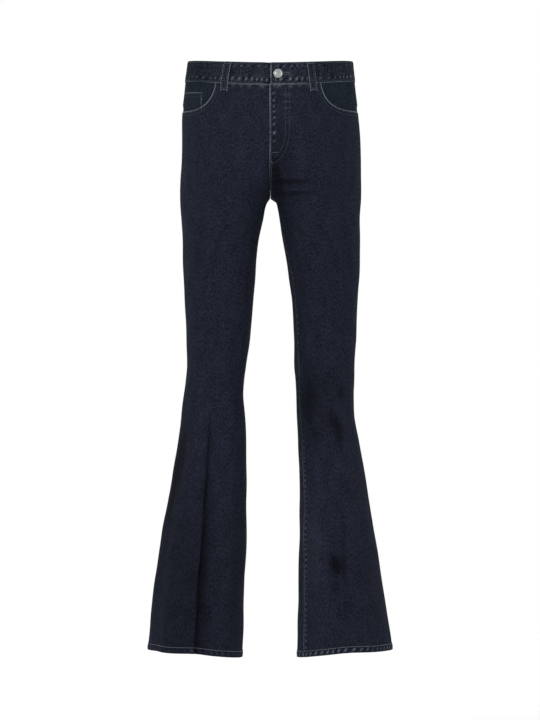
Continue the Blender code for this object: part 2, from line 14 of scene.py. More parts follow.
import bmesh
import bpy
import numpy as np
from mathutils import Matrix, Vector
from mathutils.kdtree import KDTree


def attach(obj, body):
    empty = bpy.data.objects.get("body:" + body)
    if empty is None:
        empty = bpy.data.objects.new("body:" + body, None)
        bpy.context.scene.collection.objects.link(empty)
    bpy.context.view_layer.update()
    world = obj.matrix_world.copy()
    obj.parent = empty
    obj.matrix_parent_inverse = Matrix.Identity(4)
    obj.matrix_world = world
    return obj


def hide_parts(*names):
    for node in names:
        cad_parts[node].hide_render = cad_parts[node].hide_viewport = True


RIGHT, LEFT = -1, 1
SIDE_NAMES = {RIGHT: "right", LEFT: "left"}
FRONT_ANGLE = math.pi / 2
FULL_TURN = 2 * math.pi
SMALL_TURN = 0.01
SMALL_DROP = 0.001

# Cloth and seams. Hidden layers lie lower by the under gap, so that no pucker above cuts through them.
DENIM = 0.0014
SEAM_GAP = 0.0003
LAYER_GAP = 0.0003
UNDER_GAP = 0.0005

# The leg's section is a superellipse with this exponent: 2 is a plain ellipse, more is boxier.
SQUARENESS = 2.2
MIDDLING_GIRTH = 0.45

# Waistband
BAND_HEIGHT = 0.038
BAND_PROUD = 0.0015
BAND_THICKNESS = 0.0030
WAIST_DIP = 0.009
WAIST_DIP_ENDS = 0.150
SEAM_DIP = 0.0035
SEAM_DIP_STAYS = 0.060
SEAM_DIP_ENDS = 0.180
OVERLAP_EDGE = 0.0008
UNDERLAP_STARTS = -0.0130
UNDERLAP_LEVEL = -0.0041
UNDERLAP_END = 0.0340

# Fly
FLY_WIDTH = 0.030
FLY_STRAIGHT = 0.130
FLY_BOTTOM = 0.188
FLY_PROUD = 0.0015
FLY_RAMP = 0.005
FLY_FACING_SHARE = 0.97
FLY_FACING_WIDTH = 0.021

# The fly's two J-shaped rows of stitches, which end this far round their turn, and its bar tacks
FLY_ROW_STARTS = 0.001
FLY_ROW_TURN = math.radians(78)
FlyRow = namedtuple("FlyRow", "x bottom")
FLY_ROWS = (FlyRow(0.0345, 0.193), FlyRow(0.0275, 0.184))
Tack = namedtuple("Tack", "x drop heading length")
FLY_TACKS = (Tack(0.0095, 0.1730, 0.0, 0.009), Tack(0.0030, 0.1900, math.pi / 2, 0.008))

# Front pockets
POCKET_START = {RIGHT: 0.1005, LEFT: 0.0925}
POCKET_DEPTH = 0.0545
POCKET_SQUARENESS = 6
POCKET_UNDERLAP = 0.012
FACING_REACH_SHARE = 0.022
FACING_CURVE_SHARE = 0.030
COIN_TOP = 0.058
COIN_EDGE = 0.1245
COIN_WIDTH_SHARE = 0.200
COIN_THICKNESS = 0.0012
COIN_UNDERLAP = 0.008
COIN_HOLLOW_SHARES = (0.008, 0.030)

# How the facing bulges in the pocket's opening, and where it starts and is level, from the edge
FACING_RISE = 0.0026
OPENING_STARTS = 0.003
OPENING_LEVEL = 0.015
SIDE_DIP_SHARE = 0.012

# Back
YOKE_AT_SIDE = 0.035
YOKE_AT_CENTRE = 0.072
BACK_POCKET_TOP = 0.122
BACK_POCKET_SIDE = 0.104
BACK_POCKET_POINT = 0.024
BACK_POCKET_INNER = 0.028
BACK_POCKET_OUTER = 0.136
BACK_POCKET_TAPER = 0.008
BACK_POCKET_THICKNESS = 0.0016
BACK_POCKET_GAP = 0.0006
BACK_POCKET_TACKS = (0.03, 0.97)
BACK_POCKET_TACK_DOWN = 0.03

# Belt loops
LOOP_WIDTH = 0.013
LOOP_THICKNESS = 0.0013
LOOP_FOLD = 0.008
LOOP_SLACK = 0.0026
LOOP_BEND = 0.0035
LOOP_TOP = 0.0005
LOOP_BOTTOM = 0.054
LOOP_LEAN = 0.0046
LOOP_CROWN = 0.0004
LOOP_TACK_DROPS = (0.0040, 0.0505)
LOOP_TACK_SHARE = 0.82
FRONT_LOOP_X = {RIGHT: 0.0800, LEFT: 0.0745}
BACK_LOOP_X = 0.104

# A belt loop from top to bottom: its inner face's height over the panels, and its thickness. Both ends
# are folded under, so they are double, and the belt's slack is between them.
LoopLevel = namedtuple("LoopLevel", "drop seat thickness")
ON_BAND = BAND_PROUD + LAYER_GAP
LOOP_LEVELS = (
    LoopLevel(LOOP_TOP, ON_BAND, 2 * LOOP_THICKNESS),
    LoopLevel(LOOP_FOLD, ON_BAND, 2 * LOOP_THICKNESS),
    LoopLevel(LOOP_FOLD + LOOP_BEND, ON_BAND + LOOP_SLACK, LOOP_THICKNESS),
    LoopLevel(BAND_HEIGHT / 2, ON_BAND + 1.15 * LOOP_SLACK, LOOP_THICKNESS),
    LoopLevel(BAND_HEIGHT - LOOP_BEND, ON_BAND + LOOP_SLACK, LOOP_THICKNESS),
    LoopLevel(BAND_HEIGHT + LOOP_BEND, ON_BAND, 1.5 * LOOP_THICKNESS),
    LoopLevel(LOOP_BOTTOM - LOOP_FOLD, LAYER_GAP, 2 * LOOP_THICKNESS),
    LoopLevel(LOOP_BOTTOM, LAYER_GAP, 2 * LOOP_THICKNESS),
)

# The button, with its turned outline from the middle of its back to the middle of its face
BUTTON_RADIUS = 0.0085
BUTTON_X = 0.0140
BUTTON_DROP = 0.0195
BUTTON_LIFT = 0.0006
ButtonPoint = namedtuple("ButtonPoint", "radius_share height")
BUTTON_FACE = (
    ButtonPoint(0.00, 0.0000),
    ButtonPoint(0.90, 0.0000),
    ButtonPoint(0.97, 0.0003),
    ButtonPoint(1.00, 0.0008),
    ButtonPoint(1.00, 0.0014),
    ButtonPoint(0.97, 0.0019),
    ButtonPoint(0.91, 0.0023),
    ButtonPoint(0.85, 0.0024),
    ButtonPoint(0.79, 0.0022),
    ButtonPoint(0.75, 0.0017),
    ButtonPoint(0.69, 0.0016),
    ButtonPoint(0.60, 0.0018),
    ButtonPoint(0.45, 0.0021),
    ButtonPoint(0.25, 0.0023),
    ButtonPoint(0.00, 0.0024),
)

# The buttonhole's slit, drawn as a dark sheet of painted shadow, and the stitches round it
HOLE_START = 0.0125
HOLE_END = 0.0350
HOLE_HALF_WIDTH = 0.0005
HOLE_STITCH = 0.0017
HOLE_LIFT = 0.00025
HOLE_END_STITCHES = 6
HOLE_SLIT_STEPS = 30
HOLE_SLIT_PROUD = 0.00012
HOLE_SLIT_THICKNESS = 0.0005
HOLE_LEAST_WIDTH = 0.02

# Legs and hems
CROTCH_DROP = 0.252
HEM_DROP = 1.0925
HEM_HEIGHT = 0.012
HEM_STEP = 0.002
HEM_PROUD = 0.0007
HEM_SLANT = 0.0070
HEM_TILT_STARTS = 0.650
HEM_FRONT_RISE = {RIGHT: 0.0035, LEFT: 0.0055}
SIDE_SHARE = 0.53
MOST_GRIP = 4

# The left front and back lap over the right ones by this share, this far out
LAP_SHARE = 0.0018
LAP_NEAR_SHARE = 0.02
LAP_PROUD = 0.0022
LAP_STARTS = 0.004
LAP_ENDS = 0.011
LAP_FADES = 0.215
LAP_GONE = 0.240

# One row for each level. Outer and inner are across from the middle line, front and back along Y.
# Above the crotch, inner is how far the thigh's oval would reach past the middle.
Section = namedtuple("Section", "drop right_outer right_inner left_inner left_outer front back")
SECTIONS = (
    Section(0.000, 0.1503, -0.1503, -0.1515, 0.1515, 0.097, 0.098),
    Section(0.040, 0.1565, -0.1565, -0.1565, 0.1565, 0.101, 0.108),
    Section(0.080, 0.1610, -0.1610, -0.1610, 0.1620, 0.104, 0.120),
    Section(0.120, 0.1635, -0.1480, -0.1480, 0.1655, 0.105, 0.128),
    Section(0.160, 0.1650, -0.1100, -0.1100, 0.1675, 0.104, 0.131),
    Section(0.200, 0.1660, -0.0500, -0.0500, 0.1680, 0.102, 0.128),
    Section(0.225, 0.1665, -0.0210, -0.0210, 0.1680, 0.099, 0.121),
    Section(0.240, 0.1670, -0.0085, -0.0090, 0.1680, 0.097, 0.115),
    Section(CROTCH_DROP, 0.1670, 0.0000, 0.0000, 0.1680, 0.096, 0.109),
    Section(0.260, 0.1668, 0.0058, 0.0108, 0.1678, 0.095, 0.105),
    Section(0.270, 0.1662, 0.0098, 0.0132, 0.1672, 0.094, 0.100),
    Section(0.290, 0.1648, 0.0138, 0.0164, 0.1660, 0.092, 0.093),
    Section(0.340, 0.1630, 0.0230, 0.0250, 0.1650, 0.088, 0.082),
    Section(0.395, 0.1600, 0.0280, 0.0340, 0.1640, 0.085, 0.073),
    Section(0.450, 0.1570, 0.0320, 0.0410, 0.1620, 0.082, 0.065),
    Section(0.505, 0.1550, 0.0360, 0.0435, 0.1590, 0.079, 0.058),
    Section(0.560, 0.1540, 0.0440, 0.0455, 0.1560, 0.075, 0.053),
    Section(0.590, 0.1560, 0.0480, 0.0470, 0.1550, 0.073, 0.052),
    Section(0.615, 0.1590, 0.0490, 0.0470, 0.1540, 0.071, 0.053),
    Section(0.645, 0.1630, 0.0475, 0.0475, 0.1550, 0.070, 0.056),
    Section(0.700, 0.1715, 0.0450, 0.0515, 0.1640, 0.070, 0.062),
    Section(0.755, 0.1800, 0.0440, 0.0530, 0.1730, 0.071, 0.067),
    Section(0.865, 0.1980, 0.0445, 0.0535, 0.1910, 0.075, 0.077),
    Section(0.975, 0.2155, 0.0475, 0.0520, 0.2080, 0.079, 0.086),
    Section(1.032, 0.2225, 0.0495, 0.0510, 0.2175, 0.081, 0.090),
    Section(HEM_DROP, 0.2265, 0.0515, 0.0500, 0.2260, 0.083, 0.093),
)

# How far each seam has turned round its leg, in degrees. The inseams turn to the front.
Twist = namedtuple("Twist", "drop right_inseam left_inseam right_side left_side")
TWISTS = (
    Twist(CROTCH_DROP, 0, 0, 0, 0),
    Twist(0.262, 0.5, 2, 0, 0),
    Twist(0.310, 3, 15, 1, 1),
    Twist(0.450, 6, 25, 2, 5),
    Twist(0.700, 8, 28, 3, 9),
    Twist(HEM_DROP, 8, 31, 4, 12),
)

# The flare's folds. Angles and widths in degrees round the leg. A negative depth is a trough.
Fold = namedtuple("Fold", "side starts angle_at_start angle_at_hem width_at_start width_at_hem depth")
FOLDS = (
    Fold(RIGHT, 0.600, 93, 87.5, 8, 16, -0.016),
    Fold(RIGHT, 0.600, 52, 54, 16, 18, 0.005),
    Fold(RIGHT, 0.600, 118, 116, 15, 17, 0.007),
    Fold(RIGHT, 0.640, 152, 146, 10, 14, -0.005),
    Fold(RIGHT, 0.620, 216, 212, 14, 16, -0.009),
    Fold(RIGHT, 0.620, 250, 246, 14, 16, 0.006),
    Fold(RIGHT, 0.600, 286, 282, 12, 17, -0.013),
    Fold(LEFT, 0.640, 98, 92, 9, 17, -0.010),
    Fold(LEFT, 0.640, 62, 60, 15, 17, 0.004),
    Fold(LEFT, 0.640, 128, 124, 14, 16, 0.005),
    Fold(LEFT, 0.600, 210, 214, 14, 16, -0.008),
    Fold(LEFT, 0.600, 238, 244, 14, 16, 0.006),
    Fold(LEFT, 0.620, 272, 276, 12, 17, -0.013),
    Fold(LEFT, 0.640, 312, 316, 14, 16, -0.006),
)

# The right leg's long sharp fold: it drops away at x and comes back over width towards the inner side.
# Its shade is painted shade that darkens the fold.
Tuck = namedtuple("Tuck", "drop x width depth shade")
TUCKS = (
    Tuck(0.600, -0.1060, 0.0020, 0.0000, 0.00),
    Tuck(0.640, -0.1085, 0.0022, 0.0006, 0.10),
    Tuck(0.680, -0.1118, 0.0030, 0.0020, 0.55),
    Tuck(0.766, -0.1171, 0.0048, 0.0030, 0.75),
    Tuck(0.888, -0.1254, 0.0105, 0.0040, 0.75),
    Tuck(0.980, -0.1328, 0.0140, 0.0045, 0.70),
    Tuck(HEM_DROP, -0.1380, 0.0150, 0.0045, 0.55),
)
TUCK_LIP = 0.0020

# Creases: x and drop of both ends, how wide and how deep. A negative depth is a ridge.
Crease = namedtuple("Crease", "face x_1 drop_1 x_2 drop_2 width depth")
FRONT, BACK = -1, 1
CREASES = (
    # Drag lines beside the crotch
    Crease(FRONT, 0.014, 0.226, 0.078, 0.232, 0.0045, 0.0022),
    Crease(FRONT, 0.018, 0.240, 0.090, 0.237, 0.0060, -0.0014),
    Crease(FRONT, 0.012, 0.247, 0.070, 0.252, 0.0045, 0.0020),
    Crease(FRONT, 0.020, 0.205, 0.060, 0.196, 0.0060, 0.0010),
    Crease(FRONT, -0.012, 0.236, -0.072, 0.222, 0.0060, 0.0012),
    Crease(FRONT, -0.016, 0.250, -0.060, 0.246, 0.0050, 0.0010),
    # From the pocket corners down to the thigh
    Crease(FRONT, -0.078, 0.062, -0.098, 0.104, 0.0060, 0.0009),
    Crease(FRONT, -0.112, 0.132, -0.070, 0.176, 0.0100, 0.0010),
    Crease(FRONT, 0.096, 0.066, 0.084, 0.108, 0.0060, 0.0009),
    Crease(FRONT, 0.118, 0.140, 0.082, 0.190, 0.0110, 0.0010),
    # Thighs and knees
    Crease(FRONT, -0.150, 0.330, -0.090, 0.420, 0.0160, 0.0014),
    Crease(FRONT, -0.060, 0.470, -0.120, 0.560, 0.0150, 0.0012),
    Crease(FRONT, 0.140, 0.360, 0.090, 0.470, 0.0160, 0.0014),
    Crease(FRONT, 0.118, 0.560, 0.090, 0.640, 0.0110, 0.0020),
    Crease(FRONT, 0.135, 0.585, 0.110, 0.655, 0.0100, -0.0012),
    Crease(FRONT, 0.062, 0.585, 0.095, 0.625, 0.0080, 0.0010),
    Crease(FRONT, -0.150, 0.560, -0.135, 0.640, 0.0100, 0.0014),
    # The flare's fold lines
    Crease(FRONT, 0.112, 0.660, 0.138, 1.000, 0.0050, 0.0020),
    Crease(FRONT, -0.160, 0.700, -0.190, 0.860, 0.0090, 0.0016),
    Crease(FRONT, 0.172, 0.860, 0.196, 1.060, 0.0120, 0.0012),
    # Under the seat
    Crease(BACK, 0.024, 0.262, 0.120, 0.238, 0.0070, 0.0030),
    Crease(BACK, 0.030, 0.284, 0.132, 0.262, 0.0080, 0.0026),
    Crease(BACK, 0.036, 0.309, 0.104, 0.296, 0.0080, 0.0018),
    Crease(BACK, -0.022, 0.258, -0.124, 0.241, 0.0075, 0.0030),
    Crease(BACK, -0.032, 0.281, -0.118, 0.268, 0.0080, 0.0024),
    Crease(BACK, -0.040, 0.312, -0.126, 0.292, 0.0090, 0.0018),
    # Behind the knees
    Crease(BACK, 0.052, 0.520, 0.128, 0.497, 0.0070, 0.0026),
    Crease(BACK, 0.058, 0.546, 0.146, 0.532, 0.0075, 0.0032),
    Crease(BACK, 0.066, 0.577, 0.132, 0.569, 0.0070, 0.0024),
    Crease(BACK, 0.062, 0.610, 0.118, 0.588, 0.0080, 0.0016),
    Crease(BACK, -0.048, 0.513, -0.116, 0.505, 0.0070, 0.0024),
    Crease(BACK, -0.052, 0.548, -0.142, 0.529, 0.0080, 0.0032),
    Crease(BACK, -0.070, 0.571, -0.138, 0.566, 0.0070, 0.0022),
    Crease(BACK, -0.058, 0.604, -0.112, 0.592, 0.0080, 0.0015),
    # The backs of the thighs
    Crease(BACK, 0.060, 0.350, 0.110, 0.455, 0.0160, 0.0014),
    Crease(BACK, -0.118, 0.345, -0.072, 0.440, 0.0160, 0.0014),
)

# Each crease bows by a share of its length, fades out over shares of it past and within its ends, and
# fades in as the cloth turns to face its way. Its troughs are darkened with painted shade and its ridges
# lightened with a painted highlight.
CREASE_BOW = 0.06
CREASE_FADE_PAST = 0.15
CREASE_FADE_WITHIN = 0.35
CREASE_FACING_STARTS = 0.05
CREASE_FACING_FULL = 0.35
CREASE_PAINTED_LIGHT = 45.0

# Long waves that keep the cloth from being quite even: waves to a metre along X, Y and Z
Wave = namedtuple("Wave", "x y z height phase")
WAVES = (
    Wave(5.0, 3.0, 2.0, 0.00050, 0.3),
    Wave(-7.0, 4.0, 5.0, 0.00045, 1.9),
    Wave(3.0, -9.0, 8.0, 0.00040, 4.1),
    Wave(11.0, 6.0, -6.0, 0.00030, 2.6),
    Wave(-14.0, 10.0, 11.0, 0.00020, 0.9),
    Wave(19.0, -8.0, 15.0, 0.00014, 5.2),
)

# Lighter or darker patches on the front: where, half width and half height, how far they lean for each
# metre down, and how strong. A negative strength is darker, and those darker patches are painted shade
# on folds, creases and the less lit parts of the legs.
PATCH_SHARPNESS = 1.5
Patch = namedtuple("Patch", "x drop half_width half_height lean strength")
PATCHES = (
    # Shade beside the fly and in the drag lines of the crotch
    Patch(0.018, 0.185, 0.020, 0.060, 0.00, -0.36),
    Patch(0.012, 0.225, 0.010, 0.045, 0.10, -0.40),
    Patch(0.045, 0.226, 0.032, 0.0050, 0.02, -0.45),
    Patch(0.050, 0.246, 0.030, 0.0040, 0.00, -0.45),
    Patch(0.028, 0.300, 0.020, 0.090, -0.10, -0.12),
    # Fading beside the fly
    Patch(0.0105, 0.143, 0.0030, 0.022, 0.00, 0.22),
    # The band's ends beside the loops
    Patch(-0.125, 0.022, 0.032, 0.026, 0.00, -0.30),
    Patch(0.110, 0.020, 0.042, 0.024, 0.00, -0.20),
    # Thighs and knees
    Patch(-0.100, 0.430, 0.080, 0.300, 0.00, -0.10),
    Patch(0.100, 0.430, 0.080, 0.300, 0.00, -0.17),
    Patch(0.096, 0.640, 0.040, 0.072, -0.10, -0.16),
    Patch(0.070, 0.625, 0.015, 0.062, 0.00, -0.36),
    Patch(0.129, 0.609, 0.008, 0.013, 0.00, -0.36),
    Patch(0.114, 0.660, 0.010, 0.018, 0.10, -0.34),
    Patch(0.125, 0.684, 0.008, 0.024, 0.15, -0.46),
    Patch(0.086, 0.690, 0.014, 0.012, 0.00, -0.24),
    # Flares
    Patch(-0.172, 0.960, 0.052, 0.200, 0.00, -0.36),
    Patch(-0.080, 0.980, 0.045, 0.220, 0.00, -0.18),
    Patch(-0.169, 0.745, 0.009, 0.085, -0.175, -0.60),
    Patch(0.160, 0.980, 0.060, 0.200, 0.00, -0.14),
    Patch(0.085, 0.880, 0.030, 0.200, 0.10, 0.035),
    Patch(0.121, 0.926, 0.0135, 0.021, 0.10, -0.66),
    Patch(0.121, 0.966, 0.010, 0.016, 0.10, -0.25),
    # The left leg's long fold line
    Patch(0.134, 0.901, 0.0045, 0.140, 0.049, -0.20),
)

# How a seam shapes and wears its piece. Its puckers are strongest at peak from the edge, fade over reach,
# lean by slant and are worn on their tops, with painted shade between them. Rows are the topstitching's
# distances from the edge.
Look = namedtuple("Look", "period slant height wear peak reach edge_wear edge_width rows")
PLAIN = Look(0.0130, 0.3, 0.00015, 0.05, 0.000, 0.006, 0.10, 0.0010, ())
BAND_TOP = Look(0.0122, 0.9, 0.00025, 0.26, 0.0060, 0.0026, 0.05, 0.0010, (0.0030,))
BAND_FOOT = Look(0.0118, 0.3, 0.00045, 0.46, 0.0088, 0.0032, 0.62, 0.0011, (0.0028,))
BAND_END = Look(0.0110, 0.2, 0.00020, 0.16, 0.000, 0.005, 0.85, 0.0013, (0.0026,))
BELOW_BAND = Look(0.0160, 0.2, 0.00030, 0.16, 0.000, 0.007, 0.50, 0.0012, ())
POCKET_EDGE = Look(0.0090, 0.3, 0.00025, 0.20, 0.000, 0.009, 1.00, 0.0014, (0.0030, 0.0078))
FLY_EDGE = Look(0.0118, 0.0, 0.00025, 0.55, 0.0072, 0.0022, 1.00, 0.0013, (0.0030,))
FLY_CURVE = Look(0.0116, 0.0, 0.00020, 0.15, 0.0018, 0.0018, 0.00, 0.0010, ())
RISE = Look(0.0085, 0.2, 0.00025, 0.20, 0.000, 0.008, 0.60, 0.0011, (0.0020, 0.0074))
INSEAM = Look(0.0095, 0.3, 0.00020, 0.48, 0.0078, 0.0022, 0.45, 0.0024, (0.0036,))
YOKE_SEAM = Look(0.0100, 0.3, 0.00025, 0.16, 0.000, 0.009, 0.50, 0.0011, (0.0020, 0.0074))
SIDE_SEAM = Look(0.0140, 0.3, 0.00020, 0.08, 0.000, 0.008, 0.14, 0.0010, ())
HEM_EDGE = Look(0.0112, 0.5, 0.00050, 0.50, 0.0060, 0.0036, 0.16, 0.0012, (0.0112,))
PATCH_EDGE = Look(0.0100, 0.3, 0.00020, 0.16, 0.000, 0.007, 0.55, 0.0011, (0.0020, 0.0074))
PATCH_TOP = Look(0.0110, 0.3, 0.00020, 0.20, 0.000, 0.010, 0.50, 0.0011, (0.0020, 0.0110))
COIN_TOP_EDGE = Look(0.0080, 0.2, 0.00015, 0.16, 0.000, 0.007, 0.70, 0.0011, (0.0024, 0.0080))
COIN_SIDE_EDGE = Look(0.0085, 0.2, 0.00015, 0.12, 0.000, 0.005, 0.55, 0.0010, (0.0018,))
LOOP_EDGE = Look(0.0070, 0.2, 0.00010, 0.14, 0.000, 0.003, 0.60, 0.0010, (0.0034,))

# Cloth edges are rounded off by this much, over this distance, and rows of stitches sit in a groove,
# which is darkened with painted shade.
ROLL = 0.00040
ROLL_WIDTH = 0.00080
GROOVE = 0.00022
GROOVE_WIDTH = 0.0014
GROOVE_SHADE = 0.38
PUCKER_STARTS = 0.002
BAND_WEAR = 0.004

# Slow waves along a seam, with their rates in radians a metre, that shift with the puckers' period. They
# move the puckers, by a share of a period, and make them and the rub along the edge uneven.
Ripple = namedtuple("Ripple", "share rate phase shift")
WANDER = (Ripple(0.30, 31, 0.0, 900), Ripple(0.22, 83, 1.7, 0))
UNEVEN_PUCKERS = Ripple(0.18, 47, 0.0, 500)
UNEVEN_RUB = Ripple(0.20, 61, 0.0, 0)

# Stitches: short tubes, thinner and sunk in the cloth at both ends
STITCH_PITCH = 0.0042
STITCH_LENGTH = 0.0029
STITCH_LIFT = 0.00012
THREAD_RADIUS = 0.00040
THREAD_SIDES = 5
THREAD_SPOTS = np.array((0.0, 0.2, 0.8, 1.0))
THREAD_GIRTHS = THREAD_RADIUS * np.array((0.7, 1.0, 1.0, 0.7))
THREAD_SINK = 0.9 * THREAD_RADIUS
BAR_PITCH = 0.00058
BAR_WIDTH = 0.0017
BAR_LENGTH = 0.0090
BAR_LIFT = 0.0003

# Mesh sizes. Rows and columns are closest at a piece's edges, and rows at the crotch and the hem.
EDGE_STEPS = np.array((0.0, 0.0005, 0.0013, 0.0026, 0.0044, 0.0068))
LINE_STEP = 0.0015
LINE_POINTS = 240
SHARE_SAMPLES = 161
LEG_LEVELS = 110
BAND_PART_COLUMNS = 46
CURVE_COLUMNS = 56
BACK_COLUMNS = 96
TOP_ROWS = 30
UPPER_LENGTH = 0.10
ROW_STEP = 0.0033
SEAT_LEVEL = 0.170
CROTCH_ROWS_START = 0.235
CROTCH_ROWS_END = 0.272
CROTCH_ROW_STEP = 0.0013
HEM_ROWS = np.array((0.0135, 0.0125, 0.0118, 0.0105, 0.009, 0.007, 0.005, 0.0032, 0.0018, 0.0008, 0.0))
SPREAD_STARTS = 0.10
SPREAD_ENDS = 0.30
SMALL_PIECE = 0.10
YOKE_ROWS = 26
FACING_COLUMNS = 44
FACING_ROWS = 30
COIN_COLUMNS = 36
COIN_ROWS = 30
FLY_FACING_COLUMNS = 8
BACK_POCKET_HALF_COLUMNS = 30
BACK_POCKET_ROWS = 48
WAIST_GIRTH = 0.95
WAISTBAND_COLUMNS = 380
WAISTBAND_ROWS = 22
LOOP_COLUMNS = 13
LOOP_ROWS = 46
BUTTON_STEPS = 64
BUTTON_SHARP = math.radians(50)
WALL_SHARP = math.radians(48)

# The denim's grain is four noises, in waves a metre across and down the cloth: fine yarn, slubs that
# run down it, weft, and mottle. Each has its share of the tone.
Grain = namedtuple("Grain", "scale detail share")
GRAINS = (
    Grain((640, 420, 1), 1.0, 0.28),
    Grain((470, 190, 1), 1.0, 0.40),
    Grain((150, 520, 1), 1.0, 0.16),
    Grain((60, 26, 1), 3.0, 0.16),
)
TONE_SPREAD = 0.080
DenimTone = namedtuple("DenimTone", "name dark light contrast")
DENIM_TONES = (
    DenimTone("denim", (0.0042, 0.0050, 0.0100, 1), (0.0160, 0.0188, 0.0325, 1), 1.0),
    DenimTone("band_denim", (0.0026, 0.0034, 0.0070, 1), (0.0230, 0.0275, 0.0410, 1), 1.3),
    DenimTone("facing_denim", (0.0028, 0.0050, 0.0088, 1), (0.0138, 0.0188, 0.0285, 1), 1.0),
)
TINT = (0.0085, 0.0150, 0.0190, 1)
TINT_SCALE = (14, 9, 1)
TINT_RANGE = (0.42, 0.62)
TINT_SHARE = 0.13
# Wear, and painted highlights on the creases' ridges, lighten the cloth towards this colour.
WORN_AND_HIGHLIGHT = (0.215, 0.245, 0.285, 1)
SPECKLE_SCALE = (620, 420, 1)
SPECKLE_RANGE = (0.34, 0.66, 0.25, 1.35)
# Painted shade, in creases, folds, stitch grooves and dark patches, darkens the cloth towards this colour,
# by at most MOST_SHADE.
SHADE = (0.0010, 0.0010, 0.0014, 1)
MOST_SHADE = 0.80
INSIDE = (0.045, 0.055, 0.075, 1)
TWILL_SCALE = (5700, 5700, 0)
TWILL_HEIGHT = 0.25
SLUB_HEIGHT = 0.9
DENIM_BUMP = 0.7
DENIM_RELIEF = 0.00025
DENIM_ROUGHNESS = 0.95
DENIM_SPECULAR = 0.05

# Thread, metal and the slit's painted shadow, each made uneven by a noise, in waves a metre
ThreadTone = namedtuple("ThreadTone", "name dark light")
THREAD_TONES = (
    ThreadTone("thread", (0.020, 0.026, 0.036, 1), (0.075, 0.088, 0.105, 1)),
    ThreadTone("pale_thread", (0.100, 0.118, 0.140, 1), (0.220, 0.245, 0.275, 1)),
)
THREAD_SCALE = (260, 260, 260)
METAL_DARK = (0.22, 0.23, 0.23, 1)
METAL_LIGHT = (0.40, 0.41, 0.41, 1)
METAL_RANGE = (0.3, 0.7)
SLIT_SHADOW_COLOUR = (0.004, 0.004, 0.006)
SLIT_RANGE = (0.3, 0.7, 0.85, 1.15)
SPECK_SCALE = (900, 900, 900)

# Studio
FLOOR_HALF = 3.0
FLOOR_HEIGHT = -1.30
FLOOR_COLOUR = (0.98, 0.98, 0.98, 1)
LIGHT_AIM = (0, 0, -0.5)
Lamp = namedtuple("Lamp", "name place size power")
LAMPS = (
    Lamp("key_light", (-2.2, -3.4, 1.2), 1.8, 60),
    Lamp("fill_light", (2.6, -3.0, -0.2), 2.0, 18),
)
CAMERA_PLACE = (-0.0006, -6.0, -0.551)
CAMERA_LENS = 162.16
CAMERA_SENSOR = 36


def smooth(x, xs, ys):
    """A curve through the table's points that never swings past them (Fritsch-Carlson)."""
    xs, ys = np.asarray(xs, float), np.asarray(ys, float)
    step = np.diff(xs)
    slope = np.diff(ys) / step
    tangent = np.concatenate([slope[:1], np.zeros(len(slope) - 1), slope[-1:]])
    same_way = slope[:-1] * slope[1:] > 0
    before, after = step[:-1] + 2 * step[1:], 2 * step[:-1] + step[1:]
    safe = np.where(same_way, slope[:-1], 1), np.where(same_way, slope[1:], 1)
    mean = (before + after) / (before / safe[0] + after / safe[1])
    tangent[1:-1] = np.where(same_way, mean, 0)
    x = np.clip(x, xs[0], xs[-1])
    i = np.clip(np.searchsorted(xs, x, side="right") - 1, 0, len(step) - 1)
    t = (x - xs[i]) / step[i]
    return (
        ys[i] * (1 + 2 * t) * (1 - t) ** 2
        + ys[i + 1] * t * t * (3 - 2 * t)
        + step[i] * t * (1 - t) * (tangent[i] * (1 - t) - tangent[i + 1] * t)
    )


def paired(drop, turn):
    """Both as arrays of one shape."""
    return np.broadcast_arrays(np.asarray(drop, float), np.asarray(turn, float))


def lengths_along(points):
    """How far each point of a path is from its start."""
    return np.concatenate([[0], np.cumsum(np.linalg.norm(np.diff(points, axis=0), axis=1))])


def column(table, name):
    """One named column of a table, as a list."""
    return [getattr(row, name) for row in table]


def ease(x, start, end):
    """0 before start, 1 after end, smooth between them."""
    t = np.clip((x - start) / (end - start), 0, 1)
    return t * t * (3 - 2 * t)


Oval = namedtuple("Oval", "middle half_width centre half_depth")


def oval(side, drop):
    """The leg's oval at a drop. Middle and half width run outwards from the middle line."""
    drops = column(SECTIONS, "drop")
    outer = smooth(drop, drops, column(SECTIONS, SIDE_NAMES[side] + "_outer"))
    inner = smooth(drop, drops, column(SECTIONS, SIDE_NAMES[side] + "_inner"))
    front = smooth(drop, drops, column(SECTIONS, "front"))
    back = smooth(drop, drops, column(SECTIONS, "back"))
    return Oval((outer + inner) / 2, (outer - inner) / 2, (back - front) / 2, (back + front) / 2)


def squared(value):
    """Turns a circle's cosine or sine into that of a slightly boxy oval."""
    return np.sign(value) * np.abs(value) ** (2 / SQUARENESS)


def unsquared(value):
    """The circle's cosine or sine that squared turns into this one."""
    return np.sign(value) * np.abs(value) ** (SQUARENESS / 2)


def fold_depth(side, drop, angle):
    """How far the folds push the cloth out of its oval."""
    total = np.zeros(np.broadcast(drop, angle).shape)
    for fold in FOLDS:
        if fold.side != side:
            continue
        down = np.clip((drop - fold.starts) / (HEM_DROP - fold.starts), 0, 1)
        at = np.radians(fold.angle_at_start + (fold.angle_at_hem - fold.angle_at_start) * down)
        width = np.radians(fold.width_at_start + (fold.width_at_hem - fold.width_at_start) * down)
        off = (angle - at + math.pi) % FULL_TURN - math.pi
        total += fold.depth * np.sin(down * math.pi / 2) * np.exp(-((off / width) ** 2))
    return total


